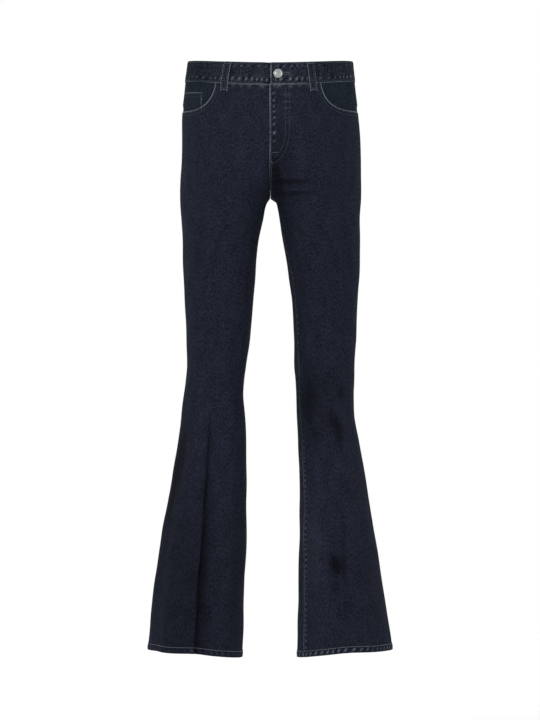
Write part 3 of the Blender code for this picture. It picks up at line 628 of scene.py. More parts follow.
def bare_skin(side, drop, angle):
    """Points of the panels' outer face, as an array with X, Y and Z last."""
    drop, angle = paired(drop, angle)
    row = oval(side, drop)
    cosine, sine = np.cos(angle), np.sin(angle)
    across = -row.half_width * squared(cosine)
    along = -row.half_depth * squared(sine)
    radius = np.hypot(across, along)
    grow = 1 + fold_depth(side, drop, angle) / radius
    facing_front = np.maximum(sine, 0) ** 2
    tilt = ease(drop, HEM_TILT_STARTS, HEM_DROP)
    seam_dip = SEAM_DIP * ease(drop, 0, BAND_HEIGHT) * (1 - ease(drop, SEAM_DIP_STAYS, SEAM_DIP_ENDS))
    sink = (WAIST_DIP * (1 - ease(drop, 0, WAIST_DIP_ENDS)) + seam_dip) * facing_front
    rise = tilt * (HEM_FRONT_RISE[side] * facing_front - HEM_SLANT * cosine)
    x = side * (row.middle + across * grow)
    y = row.centre + along * grow
    return np.stack([x, y, rise - sink - drop], axis=-1)


def outward(side, drop, angle):
    """Unit normals of the panels' outer face."""
    round_leg = bare_skin(side, drop, angle + SMALL_TURN) - bare_skin(side, drop, angle - SMALL_TURN)
    down_leg = bare_skin(side, drop + SMALL_DROP, angle) - bare_skin(side, drop - SMALL_DROP, angle)
    normal = np.cross(down_leg, round_leg) * side
    return normal / np.linalg.norm(normal, axis=-1, keepdims=True)


def skin(side, drop, angle, proud=0.0):
    """Points of the cloth's face, moved out by proud."""
    drop, angle = paired(drop, angle)
    return bare_skin(side, drop, angle) + outward(side, drop, angle) * np.asarray(proud)[..., None]


def first_angle(side, drop):
    """Where the front meets the middle line, or starts at the inner thigh, with half a seam's gap."""
    row = oval(side, drop)
    half_gap = SEAM_GAP / 2
    cut = np.arccos(np.clip(unsquared((row.middle - half_gap) / row.half_width), -1, 1))
    return np.maximum(cut, half_gap / row.half_depth)


def angle_at_share(side, drop, share):
    """The angle at a share of the way round, from the centre front or inseam to the back's."""
    drops = column(TWISTS, "drop")
    inseam = smooth(drop, drops, column(TWISTS, SIDE_NAMES[side] + "_inseam"))
    side_seam = smooth(drop, drops, column(TWISTS, SIDE_NAMES[side] + "_side"))
    reach = np.where(share < SIDE_SHARE, SIDE_SHARE, 1 - SIDE_SHARE)
    from_side = np.abs(share - SIDE_SHARE) / reach
    turned = side_seam + (inseam - side_seam) * from_side
    start = first_angle(side, drop)
    # Near the crotch the start moves fast, so there it only draws the nearest columns along.
    grip = np.clip(FRONT_ANGLE / start, 1, MOST_GRIP)
    middle = 1 - 2 * share
    drawn = start * np.sign(middle) * np.abs(middle) ** grip
    return FULL_TURN * share + drawn + np.radians(turned)


def angle_at_x(side, drop, x, back=False):
    """The angle at a distance from the middle line, on the front or the back."""
    row = oval(side, drop)
    angle = np.arccos(np.clip(unsquared((row.middle - x) / row.half_width), -1, 1))
    return FULL_TURN - angle if back else angle


def band_seam():
    """The drop where the panels start, under the waistband."""
    return BAND_HEIGHT + SEAM_GAP


def share_at_x(side, drop, x):
    """The share of the way round at a distance from the middle line, near the waist."""
    start = first_angle(side, drop)
    return float((angle_at_x(side, drop, x) - start) / (FULL_TURN - 2 * start))


def pocket_start_share(side):
    """Where the pocket's opening starts, as a share of the way round."""
    return share_at_x(side, BAND_HEIGHT, POCKET_START[side])


def pocket_drop(side, share, depth=POCKET_DEPTH, reach=0.0):
    """The pocket opening's edge: a squarish quarter oval from the waist seam to the side seam."""
    start = pocket_start_share(side) - reach
    along = np.clip((SIDE_SHARE - share) / (SIDE_SHARE - start), 0, 1)
    return band_seam() + depth * np.sqrt(1 - along**POCKET_SQUARENESS)


def yoke_drop(share):
    """The drop of the yoke's lower seam, deepest at the centre back."""
    along = (share - SIDE_SHARE) / (1 - SIDE_SHARE)
    return band_seam() + YOKE_AT_SIDE + (YOKE_AT_CENTRE - YOKE_AT_SIDE) * along


def half_gap_share():
    """Half a seam's gap as a share of the way round a middling leg."""
    return SEAM_GAP / 2 / MIDDLING_GIRTH


def coin_shares(side):
    """The coin pocket's two edges as shares of the way round."""
    edge = share_at_x(side, COIN_TOP, COIN_EDGE)
    return edge, edge + COIN_WIDTH_SHARE


def fly_edge(drop):
    """How far the J-shaped edge of the fly is from the middle line."""
    along = np.clip((drop - FLY_STRAIGHT) / (FLY_BOTTOM - FLY_STRAIGHT), 0, 1)
    return FLY_WIDTH * np.sqrt(1 - along**2)


def fly_proud(side, drop, angle):
    """The left front lies over the fly, so it stands out there."""
    x = np.abs(bare_skin(side, drop, angle)[..., 0])
    over_fly = 1 - ease(x, fly_edge(drop) - FLY_RAMP / 2, fly_edge(drop) + FLY_RAMP / 2)
    return FLY_PROUD * over_fly * (drop < FLY_BOTTOM) * (side == LEFT)


def facing_proud(side, share):
    """The facing lies under the front panel, and deeper where the coin pocket lies on it."""
    first, last = coin_shares(side)
    near, far = COIN_HOLLOW_SHARES
    under_coin = ease(share, first - far, first - near) * (1 - ease(share, last, last + near))
    return -DENIM - LAYER_GAP - (COIN_THICKNESS + LAYER_GAP) * under_coin * (side == RIGHT)


def turn_at_x(x):
    """The turn round the waist, from the centre front towards the left, at a distance across."""
    return math.asin(unsquared(x / oval(LEFT, BAND_HEIGHT / 2).half_width))


def round_waist(drop, turn, proud):
    """Points by the turn round the whole waist: 0 is the centre front, 90 degrees the left side."""
    on_right = (turn > math.pi) & (turn <= FULL_TURN)
    left_angle = FRONT_ANGLE + np.where(turn > FULL_TURN, turn - FULL_TURN, turn)
    left_points = skin(LEFT, drop, left_angle, proud)
    right_points = skin(RIGHT, drop, FRONT_ANGLE + FULL_TURN - turn, proud)
    return np.where(on_right[..., None], right_points, left_points)


def unevenness(points):
    """The gentle waviness of hanging cloth."""
    total = 0
    for wave in WAVES:
        turns = points @ np.array([wave.x, wave.y, wave.z])
        total = total + wave.height * np.sin(FULL_TURN * turns + wave.phase)
    return total


def crease_height(points, facing):
    """Troughs and ridges, each soft across and drawn out to nothing at its ends."""
    x, z = points[..., 0], points[..., 2]
    total = np.zeros(x.shape)
    for crease in CREASES:
        run_x, run_z = crease.x_2 - crease.x_1, crease.drop_1 - crease.drop_2
        length = math.hypot(run_x, run_z)
        along = ((x - crease.x_1) * run_x + (z + crease.drop_1) * run_z) / length**2
        off = ((x - crease.x_1) * run_z - (z + crease.drop_1) * run_x) / length
        bow = CREASE_BOW * length * np.sin(math.pi * np.clip(along, 0, 1))
        begins = ease(along, -CREASE_FADE_PAST, CREASE_FADE_WITHIN)
        ends = ease(along, 1 - CREASE_FADE_WITHIN, 1 + CREASE_FADE_PAST)
        here = ease(facing * crease.face, CREASE_FACING_STARTS, CREASE_FACING_FULL)
        profile = np.exp(-(((off - bow) / crease.width) ** 2))
        total -= crease.depth * profile * begins * (1 - ends) * here
    return total


def tuck_shape(points, facing):
    """The height of the right leg's sharp fold, and the painted shade that darkens it."""
    x, drop = points[..., 0], -points[..., 2]
    drops = column(TUCKS, "drop")
    line, width, depth, shade = (smooth(drop, drops, column(TUCKS, key)) for key in Tuck._fields[1:])
    off = x - line
    profile = np.where(off < 0, ease(off, -TUCK_LIP, 0), np.exp(-np.maximum(off, 0) / width))
    profile = profile * ((facing < 0) & (x < 0))
    return -depth * profile, -shade * profile


def patch_shade_and_fading(points, facing):
    """Darker patches of painted shade on the front, and lighter ones."""
    x, drop = points[..., 0], -points[..., 2]
    total = np.zeros(x.shape)
    for patch in PATCHES:
        across = (x - patch.x - patch.lean * (drop - patch.drop)) / patch.half_width
        down = (drop - patch.drop) / patch.half_height
        size = across**2 + down**2
        total += patch.strength * np.exp(-(size**PATCH_SHARPNESS)) * (facing < 0)
    return total


def ripple(wave, along, period):
    """A slow wave along a seam, shifted by the period of the seam's puckers."""
    return wave.share * np.sin(wave.rate * along + wave.phase + wave.shift * period)


class Edge:
    """A seam's line on a surface, and how it looks."""

    def __init__(self, surface, drop, turn, look):
        drop, turn = paired(drop, turn)
        length = lengths_along(surface(drop, turn, 0.0))
        self.along = np.linspace(0, length[-1], max(int(length[-1] / LINE_STEP), 4))
        self.drop = np.interp(self.along, length, drop)
        self.turn = np.interp(self.along, length, turn)
        self.points = surface(self.drop, self.turn, 0.0)
        self.heading = np.gradient(self.points, axis=0)
        self.heading /= np.linalg.norm(self.heading, axis=1, keepdims=True)
        self.look = look
        self.tree = KDTree(len(self.points))
        for index, point in enumerate(self.points):
            self.tree.insert(point, index)
        self.tree.balance()

    def near(self, points):
        """How far each point is from the line, and how far along the line it is."""
        flat = points.reshape(-1, 3)
        nearest = np.array([self.tree.find(point)[1] for point in flat])
        offset = flat - self.points[nearest]
        heading = self.heading[nearest]
        forward = np.clip(np.sum(offset * heading, axis=1), -LINE_STEP, LINE_STEP)
        distance = np.linalg.norm(offset - forward[:, None] * heading, axis=1)
        along = self.along[nearest] + forward
        return distance.reshape(points.shape[:-1]), along.reshape(points.shape[:-1])

    def shape(self, points):
        """The height, and the wear with painted shade in its stitch grooves and between its puckers, that
        this seam adds at each point.
        """
        look = self.look
        distance, along = self.near(points)
        wander = sum(ripple(wave, along, look.period) for wave in WANDER)
        ridge = np.sin(FULL_TURN * ((along + look.slant * distance) / look.period + wander))
        uneven = 1 - UNEVEN_PUCKERS.share + ripple(UNEVEN_PUCKERS, along, look.period)
        near = np.exp(-(((distance - look.peak) / look.reach) ** 4)) * ease(distance, 0, PUCKER_STARTS)
        pucker = ridge * uneven * near
        height = look.height * pucker - ROLL * np.exp(-distance / ROLL_WIDTH)
        rub = 1 - UNEVEN_RUB.share + ripple(UNEVEN_RUB, along, look.period)
        rub = rub * np.exp(-((distance / look.edge_width) ** 2))
        wear = look.wear * pucker + look.edge_wear * rub
        # Each row sits in a groove that painted shade darkens.
        for row in look.rows:
            groove = np.exp(-(((distance - row) / GROOVE_WIDTH) ** 2))
            height = height - GROOVE * groove
            wear = wear - GROOVE_SHADE * groove
        return height, wear


class Cloth:
    """One sewn piece: its surface, its height over the panels, and the seams that shape it."""

    def __init__(self, surface, height, edges, thickness=DENIM, wear=0.0):
        self.surface = surface
        self.height = height
        self.edges = edges
        self.thickness = thickness
        self.wear = wear

    def lay(self, drop, turn):
        """The piece's face, the way out of it, and its wear with painted shade and highlights, at each
        place.
        """
        drop, turn = paired(drop, turn)
        bare = self.surface(drop, turn, 0.0)
        out = self.surface(drop, turn, 1.0) - bare
        facing = out[..., 1]
        folds = crease_height(bare, facing)
        tuck_height, tuck_painted_shade = tuck_shape(bare, facing)
        height = self.height(drop, turn) + folds + tuck_height + unevenness(bare)
        # Painted shade darkens the creases' troughs, the tuck and the darker patches; a painted highlight
        # lightens the creases' ridges.
        wear = self.wear + patch_shade_and_fading(bare, facing) + CREASE_PAINTED_LIGHT * folds + tuck_painted_shade
        for edge in self.edges:
            more_height, more_wear_and_shade = edge.shape(bare)
            height = height + more_height
            wear = wear + more_wear_and_shade
        return bare + out * height[..., None], out, wear


def add_object(name, data):
    """A new object in the scene."""
    thing = bpy.data.objects.new(name, data)
    bpy.context.scene.collection.objects.link(thing)
    return thing


def wall(name, outer, inner, out, wear):
    """A closed wall of cloth between two grids, with its grain in a UV map and its wear and painted shade by
    point.
    """
    rows, columns = outer.shape[:2]
    count = rows * columns
    index = np.arange(count).reshape(rows, columns)
    quads = np.stack([index[:-1, :-1], index[:-1, 1:], index[1:, 1:], index[1:, :-1]], -1).reshape(-1, 4)
    ring = np.concatenate([index[0], index[1:, -1], index[-1, -2::-1], index[-2:0:-1, 0]])
    after = np.roll(ring, -1)
    rim = np.stack([after, ring, ring + count, after + count], -1)
    faces = np.concatenate([quads, quads[:, ::-1] + count, rim])
    first = np.cross(outer[0, 1] - outer[0, 0], outer[1, 1] - outer[0, 0])
    if first @ out[0, 0] < 0:
        faces = faces[:, ::-1]
    mesh = bpy.data.meshes.new(name)
    points = np.concatenate([outer.reshape(-1, 3), inner.reshape(-1, 3)])
    mesh.from_pydata(points.tolist(), [], faces.tolist())
    across = np.cumsum(np.linalg.norm(np.diff(outer, axis=1, prepend=outer[:, :1]), axis=2), axis=1)
    across -= across[:, -1:] / 2
    down = np.cumsum(np.linalg.norm(np.diff(outer, axis=0, prepend=outer[:1]), axis=2), axis=0)
    grain = np.tile(np.stack([across, down], -1).reshape(-1, 2), (2, 1))
    corners = np.empty(len(mesh.loops), int)
    mesh.loops.foreach_get("vertex_index", corners)
    mesh.uv_layers.new(name="cloth").data.foreach_set("uv", grain[corners].ravel().astype(np.float32))
    wear_and_shade_values = np.tile(wear.ravel(), 2).astype(np.float32)
    mesh.attributes.new("wear", "FLOAT", "POINT").data.foreach_set("value", wear_and_shade_values)
    inside = np.repeat([0.0, 1.0], count).astype(np.float32)
    mesh.attributes.new("inside", "FLOAT", "POINT").data.foreach_set("value", inside)
    mesh.shade_smooth()
    mesh.set_sharp_from_angle(angle=WALL_SHARP)
    return add_object(name, mesh)


def sew(node, cloth, drop, turn, finish):
    """Makes the shell that stands for a cloth node."""
    outer, out, wear = cloth.lay(drop, turn)
    thickness = cloth.thickness(drop) if callable(cloth.thickness) else cloth.thickness
    thickness = np.broadcast_to(thickness, outer.shape[:-1])
    piece = wall("cloth_" + node, outer, outer - out * thickness[..., None], out, wear)
    piece.data.materials.append(finish)
    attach(piece, "root")
    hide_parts(node)


def steps(surface, drop, turn):
    """Metres for a unit of drop and for a unit of turn."""
    down = surface(drop + SMALL_DROP, turn, 0.0) - surface(drop - SMALL_DROP, turn, 0.0)
    around = surface(drop, turn + SMALL_TURN, 0.0) - surface(drop, turn - SMALL_TURN, 0.0)
    return (
        np.linalg.norm(down, axis=-1) / (2 * SMALL_DROP),
        np.linalg.norm(around, axis=-1) / (2 * SMALL_TURN),
    )


def beside(surface, drop, turn, distance):
    """A path moved sideways: rightwards of its way on a piece seen with its turn running to the right."""
    per_drop, per_turn = steps(surface, drop, turn)
    down, around = np.gradient(drop) * per_drop, np.gradient(turn) * per_turn
    length = np.hypot(down, around)
    return drop + distance * around / length / per_drop, turn - distance * down / length / per_turn


class Threads:
    """Gathers stitches into one mesh, and starts with the topstitching of a piece's seams."""

    def __init__(self, cloth, edges):
        self.points, self.faces, self.count = [], [], 0
        for edge in edges:
            self.edge_rows(cloth, edge.drop, edge.turn, edge.look)

    def tubes(self, start, end, out, lift=STITCH_LIFT):
        """Short bowed tubes of thread from each start to each end, sunk in the cloth at both."""
        along = end - start
        side = np.cross(along, out)
        side /= np.linalg.norm(side, axis=1, keepdims=True)
        rise = np.array([-THREAD_SINK, lift, lift, -THREAD_SINK])
        swing = FULL_TURN * np.arange(THREAD_SIDES) / THREAD_SIDES
        middle = start[:, None] + along[:, None] * THREAD_SPOTS[None, :, None]
        middle = middle + out[:, None] * rise[None, :, None]
        ring = (
            side[:, None, None] * np.cos(swing)[None, None, :, None]
            + out[:, None, None] * np.sin(swing)[None, None, :, None]
        )
        points = middle[:, :, None] + ring * THREAD_GIRTHS[None, :, None, None]
        sides, rings = THREAD_SIDES, len(THREAD_SPOTS)
        pattern = []
        for r in range(rings - 1):
            for k in range(sides):
                here, there, after = r * sides, (r + 1) * sides, (k + 1) % sides
                pattern.append((here + k, here + after, there + after, there + k))
        self.points.append(points.reshape(-1, 3))
        base = self.count + np.arange(len(start)) * sides * rings
        self.faces.extend((base[:, None, None] + np.array(pattern)[None]).reshape(-1, 4).tolist())
        first_cap = np.arange(sides)[::-1]
        last_cap = np.arange(sides) + (rings - 1) * sides
        for cap in (first_cap, last_cap):
            self.faces.extend((base[:, None] + cap[None]).tolist())
        self.count += len(start) * sides * rings

    def row(self, cloth, drop, turn):
        """A row of stitches along a path on a piece."""
        face, out, _ = cloth.lay(drop, turn)
        length = lengths_along(face)
        count = int((length[-1] - STITCH_LENGTH) / STITCH_PITCH) + 1
        spare = length[-1] - (count - 1) * STITCH_PITCH - STITCH_LENGTH
        begins = spare / 2 + STITCH_PITCH * np.arange(count)

        def at(where, values):
            return np.stack([np.interp(where, length, values[:, i]) for i in range(3)], -1)

        out_here = at(begins + STITCH_LENGTH / 2, out)
        out_here /= np.linalg.norm(out_here, axis=1, keepdims=True)
        self.tubes(at(begins, face), at(begins + STITCH_LENGTH, face), out_here)

    def edge_rows(self, cloth, drop, turn, look):
        """The rows of topstitching that follow a seam."""
        for distance in look.rows:
            self.row(cloth, *beside(cloth.surface, drop, turn, distance))

    def bar(self, cloth, drop, turn, heading=0.0, length=BAR_LENGTH):
        """A bar tack: close threads across a short line, which is level where heading is 0."""
        count = int(length / BAR_PITCH)
        along = np.linspace(-length / 2, length / 2, count)
        per_drop, per_turn = steps(cloth.surface, np.array(drop), np.array(turn))
        ends = []
        for half in (-BAR_WIDTH / 2, BAR_WIDTH / 2):
            around = along * math.cos(heading) - half * math.sin(heading)
            down = along * math.sin(heading) + half * math.cos(heading)
            ends.append(cloth.lay(drop + down / per_drop, turn + around / per_turn)[:2])
        self.tubes(ends[0][0], ends[1][0], ends[0][1], lift=BAR_LIFT)

    def make(self, name, finish):
        """The stitches as one piece."""
        mesh = bpy.data.meshes.new(name)
        mesh.from_pydata(np.concatenate(self.points).tolist(), [], self.faces)
        mesh.shade_smooth()
        mesh.materials.append(finish)
        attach(add_object(name, mesh), "root")


def places(length, count):
    """Distances along an edge: close together near both ends, even between."""
    even = np.linspace(EDGE_STEPS[-1], length - EDGE_STEPS[-1], count - 2 * len(EDGE_STEPS) + 2)
    return np.concatenate([EDGE_STEPS[:-1], even, length - EDGE_STEPS[-2::-1]])


def shares_along(side, drop, share, count):
    """Shares that divide a line on the panels by its length, with the closest ones at its ends."""
    length = lengths_along(bare_skin(side, drop, angle_at_share(side, drop, share)))
    return np.interp(places(length[-1], count), length, share)


def panel_grid(side, top, top_share, first, last):
    """A panel's drops and angles. Its columns start along its top edge and soon spread evenly."""
    fine = EDGE_STEPS[:-1] / UPPER_LENGTH
    shares_down = np.concatenate([fine, np.linspace(EDGE_STEPS[-1] / UPPER_LENGTH, 1, TOP_ROWS)[:-1]])
    upper = top + (SEAT_LEVEL - top) * shares_down[:, None]
    level = np.concatenate(
        [
            np.arange(SEAT_LEVEL, CROTCH_ROWS_START, ROW_STEP),
            np.arange(CROTCH_ROWS_START, CROTCH_ROWS_END, CROTCH_ROW_STEP),
            np.arange(CROTCH_ROWS_END, HEM_DROP - HEM_ROWS[0], ROW_STEP),
            HEM_DROP - HEM_ROWS,
        ]
    )
    drop = np.vstack([upper, np.repeat(level[:, None], len(top), axis=1)])
    levels = np.linspace(BAND_HEIGHT, HEM_DROP, LEG_LEVELS)
    fine_share = np.linspace(first, last, SHARE_SAMPLES)
    table = np.array([shares_along(side, level, fine_share, len(top)) for level in levels])
    even = np.stack([np.interp(drop[:, c], levels, table[:, c]) for c in range(len(top))], axis=1)
    spread_out = ease(drop, SPREAD_STARTS, SPREAD_ENDS)
    share = lapped(side, drop, (1 - spread_out) * top_share + spread_out * even)
    return drop, angle_at_share(side, drop, share)


def patch_grid(top, bottom, turn, rows):
    """A small piece's drops, with the closest rows at its top and bottom."""
    along = places(SMALL_PIECE, rows)[:, None] / SMALL_PIECE
    return np.broadcast_arrays(top + (bottom - top) * along, turn)


def leg_surface(side):
    """The panels' face round one leg, as a function of drop, turn and height."""
    return lambda drop, turn, proud: skin(side, drop, turn, proud)


def leg_edge(side, drop, share, look):
    """A seam of a panel, from its drops and shares."""
    drop, share = paired(drop, share)
    return Edge(leg_surface(side), drop, angle_at_share(side, drop, share), look)


def span(start, end):
    """Even steps from one value to another, for a seam's line."""
    return np.linspace(start, end, LINE_POINTS)


def hem_turned(drop):
    """0 on the leg and 1 on the turned hem."""
    return ease(drop, HEM_DROP - HEM_HEIGHT - HEM_STEP / 2, HEM_DROP - HEM_HEIGHT + HEM_STEP / 2)


def hem_height(drop, turn):
    """How far the turned hem stands out."""
    return HEM_PROUD * hem_turned(drop)


def panel_thickness(drop):
    """One layer of denim, and the turned hem's layers."""
    return DENIM + 2 * HEM_PROUD * hem_turned(drop)


def lap(drop):
    """1 where the left side laps over the right one, and 0 from the crotch down."""
    return 1 - ease(drop, LAP_FADES, LAP_GONE)


def lapped(side, drop, share):
    """The panel's shares, with the left panel's columns at the centre drawn over the right one."""
    near_front = np.clip(1 - share / LAP_NEAR_SHARE, 0, 1)
    near_back = np.clip(1 - (1 - share) / LAP_NEAR_SHARE, 0, 1)
    return share + LAP_SHARE * lap(drop) * (near_back - near_front) * (side == LEFT)


def lap_height(side, drop, turn):
    """How far the left panels stand out over the right ones."""
    x = np.abs(bare_skin(side, drop, turn)[..., 0])
    return LAP_PROUD * (1 - ease(x, LAP_STARTS, LAP_ENDS)) * lap(drop) * (side == LEFT)


def panel_height(side):
    """A panel's height over its plain face, as a function of drop and turn."""
    return lambda drop, turn: hem_height(drop, turn) + lap_height(side, drop, turn)


def left_front_height(drop, turn):
    """The left front lies over the fly and laps over the right front."""
    raised = np.maximum(fly_proud(LEFT, drop, turn), lap_height(LEFT, drop, turn))
    return hem_height(drop, turn) + raised


def make_front(side, finish, thread, pale_thread):
    """The front of a leg, from the waistband and the pocket opening down to the hem."""
    seam, start, last = band_seam(), pocket_start_share(side), SIDE_SHARE - half_gap_share()
    reach = SIDE_SHARE - start
    curve = SIDE_SHARE - reach * (1 - span(0, 1) ** 2) - half_gap_share() * span(0, 1)
    pocket = leg_edge(side, pocket_drop(side, curve), curve, POCKET_EDGE)
    rise_drop = span(CROTCH_DROP, seam)
    centre = leg_edge(side, rise_drop, lapped(side, rise_drop, 0), FLY_EDGE if side == LEFT else PLAIN)
    inseam = leg_edge(side, span(HEM_DROP, CROTCH_DROP), 0, INSEAM)
    hem = leg_edge(side, HEM_DROP, span(last, 0), HEM_EDGE)
    waist = leg_edge(side, seam, span(0, start), BELOW_BAND)
    outseam = leg_edge(side, span(pocket_drop(side, last), HEM_DROP), last, SIDE_SEAM)
    curves = [fly_curve(row) for row in FLY_ROWS] if side == LEFT else []
    edges = [pocket, centre, inseam, hem, waist, outseam, *curves]
    height = left_front_height if side == LEFT else hem_height
    cloth = Cloth(leg_surface(side), height, edges, panel_thickness)
    along_band = shares_along(side, seam, span(0, start), BAND_PART_COLUMNS)
    along_pocket = shares_along(side, pocket_drop(side, curve), curve, CURVE_COLUMNS)
    top_share = np.concatenate([along_band, along_pocket[1:]])
    top = np.where(top_share <= start, seam, pocket_drop(side, top_share))
    drop, angle = panel_grid(side, top, top_share, 0, last)
    name = "front_" + SIDE_NAMES[side]
    sew(name, cloth, drop, angle, finish)
    stitches = Threads(cloth, (pocket, centre, inseam))
    if side == LEFT:
        add_fly_stitches(stitches, cloth, curves)
    stitches.make("threads_" + name, thread)
    Threads(cloth, (hem,)).make("pale_threads_" + name, pale_thread)


def fly_curve(row):
    """A J-shaped line beside the fly: straight down, then round to the middle."""
    swing = span(0, FLY_ROW_TURN)
    straight = span(band_seam() + FLY_ROW_STARTS, FLY_STRAIGHT)
    drop = np.concatenate([straight, FLY_STRAIGHT + (row.bottom - FLY_STRAIGHT) * np.sin(swing)])
    x = np.concatenate([np.full(LINE_POINTS, row.x), row.x * np.cos(swing)])
    return Edge(leg_surface(LEFT), drop, angle_at_x(LEFT, drop, x), FLY_CURVE)


def add_fly_stitches(stitches, cloth, curves):
    """The two J-shaped rows beside the fly and its two bar tacks."""
    for curve in curves:
        stitches.row(cloth, curve.drop, curve.turn)
    for tack in FLY_TACKS:
        angle = float(angle_at_x(LEFT, tack.drop, tack.x))
        stitches.bar(cloth, tack.drop, angle, tack.heading, tack.length)


def make_back(side, finish, thread, pale_thread):
    """The back of a leg, from the yoke down to the hem."""
    first = SIDE_SHARE + half_gap_share()
    top_level = band_seam() + (YOKE_AT_SIDE + YOKE_AT_CENTRE) / 2
    top_share = shares_along(side, top_level, span(first, 1), BACK_COLUMNS)
    top = yoke_drop(top_share) + SEAM_GAP
    along = span(first, 1)
    yoke = leg_edge(side, yoke_drop(along) + SEAM_GAP, along, YOKE_SEAM)
    rise_drop = span(top[-1], CROTCH_DROP)
    rise = leg_edge(side, rise_drop, lapped(side, rise_drop, 1), RISE if side == LEFT else PLAIN)
    inseam = leg_edge(side, span(CROTCH_DROP, HEM_DROP), 1, PLAIN)
    outseam = leg_edge(side, span(HEM_DROP, top[0]), first, SIDE_SEAM)
    hem = leg_edge(side, HEM_DROP, span(1, first), HEM_EDGE)
    cloth = Cloth(leg_surface(side), panel_height(side), [yoke, rise, inseam, outseam, hem], panel_thickness)
    drop, angle = panel_grid(side, top, top_share, first, 1)
    name = "back_" + SIDE_NAMES[side]
    sew(name, cloth, drop, angle, finish)
    Threads(cloth, (yoke, rise)).make("threads_" + name, thread)
    Threads(cloth, (hem,)).make("pale_threads_" + name, pale_thread)


def make_yoke(side, finish, thread):
    """The yoke, between the waistband and the back."""
    first, seam = SIDE_SHARE + half_gap_share(), band_seam()
    along = span(first, 1)
    top = leg_edge(side, seam, along, BELOW_BAND)
    foot = leg_edge(side, yoke_drop(along[::-1]), along[::-1], PLAIN)
    rise_drop = span(seam, yoke_drop(1))
    centre = leg_edge(side, rise_drop, lapped(side, rise_drop, 1), RISE if side == LEFT else PLAIN)
    outseam = leg_edge(side, span(yoke_drop(first), seam), first, PLAIN)
    cloth = Cloth(leg_surface(side), panel_height(side), [top, foot, centre, outseam])
    share = shares_along(side, seam, along, BACK_COLUMNS)
    drop, share = patch_grid(seam, yoke_drop(share), share, YOKE_ROWS)
    name = "yoke_" + SIDE_NAMES[side]
    angle = angle_at_share(side, drop, lapped(side, drop, share))
    sew(name, cloth, drop, angle, finish)
    if side == LEFT:
        Threads(cloth, (centre,)).make("threads_" + name, thread)


def still(height):
    """A height over the panels that is already known."""
    return lambda drop, turn: height


def rise_in_opening(side, drop, turn):
    """The cloth in the pocket's opening bulges out, level with the band, where nothing lies on it."""
    start = first_angle(side, drop)
    share = (turn - start) / (FULL_TURN - 2 * start)
    inside = ease(pocket_drop(side, share) - drop, OPENING_STARTS, OPENING_LEVEL)
    at_side = ease(share, SIDE_SHARE - SIDE_DIP_SHARE, SIDE_SHARE - half_gap_share())
    return FACING_RISE * inside * (1 - at_side)


def make_facing(side, finish):
    """The cloth behind the pocket opening, which reaches past it under the front."""
    start, last = pocket_start_share(side), SIDE_SHARE - half_gap_share()
    middle = shares_along(side, band_seam(), span(start, last), FACING_COLUMNS)
    share = np.concatenate([[start - FACING_REACH_SHARE], middle, [SIDE_SHARE + FACING_REACH_SHARE]])
    low = pocket_drop(side, share, POCKET_DEPTH + POCKET_UNDERLAP, FACING_CURVE_SHARE)
    drop, share = patch_grid(band_seam(), low, share, FACING_ROWS)
    angle = angle_at_share(side, drop, share)
    height = facing_proud(side, share) - UNDER_GAP + rise_in_opening(side, drop, angle)
    cloth = Cloth(leg_surface(side), still(height), [])
    sew("pocket_facing_" + SIDE_NAMES[side], cloth, drop, angle, finish)


def make_coin_pocket(finish, thread):
    """The small pocket on the right facing, whose lower end goes under the front."""
    first, last = coin_shares(RIGHT)
    top = leg_edge(RIGHT, COIN_TOP, span(first, last), COIN_TOP_EDGE)
    foot = pocket_drop(RIGHT, first) + COIN_UNDERLAP
    near = leg_edge(RIGHT, span(foot, COIN_TOP), first, COIN_SIDE_EDGE)

    def height(drop, turn):
        return rise_in_opening(RIGHT, drop, turn) - DENIM - LAYER_GAP - UNDER_GAP / 2

    cloth = Cloth(leg_surface(RIGHT), height, [top, near], COIN_THICKNESS)
    share = shares_along(RIGHT, COIN_TOP, span(first, last), COIN_COLUMNS)
    low = pocket_drop(RIGHT, share) + COIN_UNDERLAP
    drop, share = patch_grid(COIN_TOP, low, share, COIN_ROWS)
    angle = angle_at_share(RIGHT, drop, share)
    sew("coin_pocket", cloth, drop, angle, finish)
    Threads(cloth, (top, near)).make("threads_coin_pocket", thread)


def make_fly_facing(finish):
    """The cloth under the left front's edge."""
    drop = span(band_seam(), SEAT_LEVEL)[:, None]
    width = np.minimum(FLY_FACING_WIDTH, fly_edge(drop) * FLY_FACING_SHARE)
    x = SEAM_GAP / 2 + (width - SEAM_GAP / 2) * np.linspace(0, 1, FLY_FACING_COLUMNS)
    drop, x = np.broadcast_arrays(drop, x)
    height = still(FLY_PROUD - DENIM - LAYER_GAP - UNDER_GAP)
    cloth = Cloth(leg_surface(LEFT), height, [], DENIM - LAYER_GAP)
    sew("fly_facing", cloth, drop, angle_at_x(LEFT, drop, x), finish)


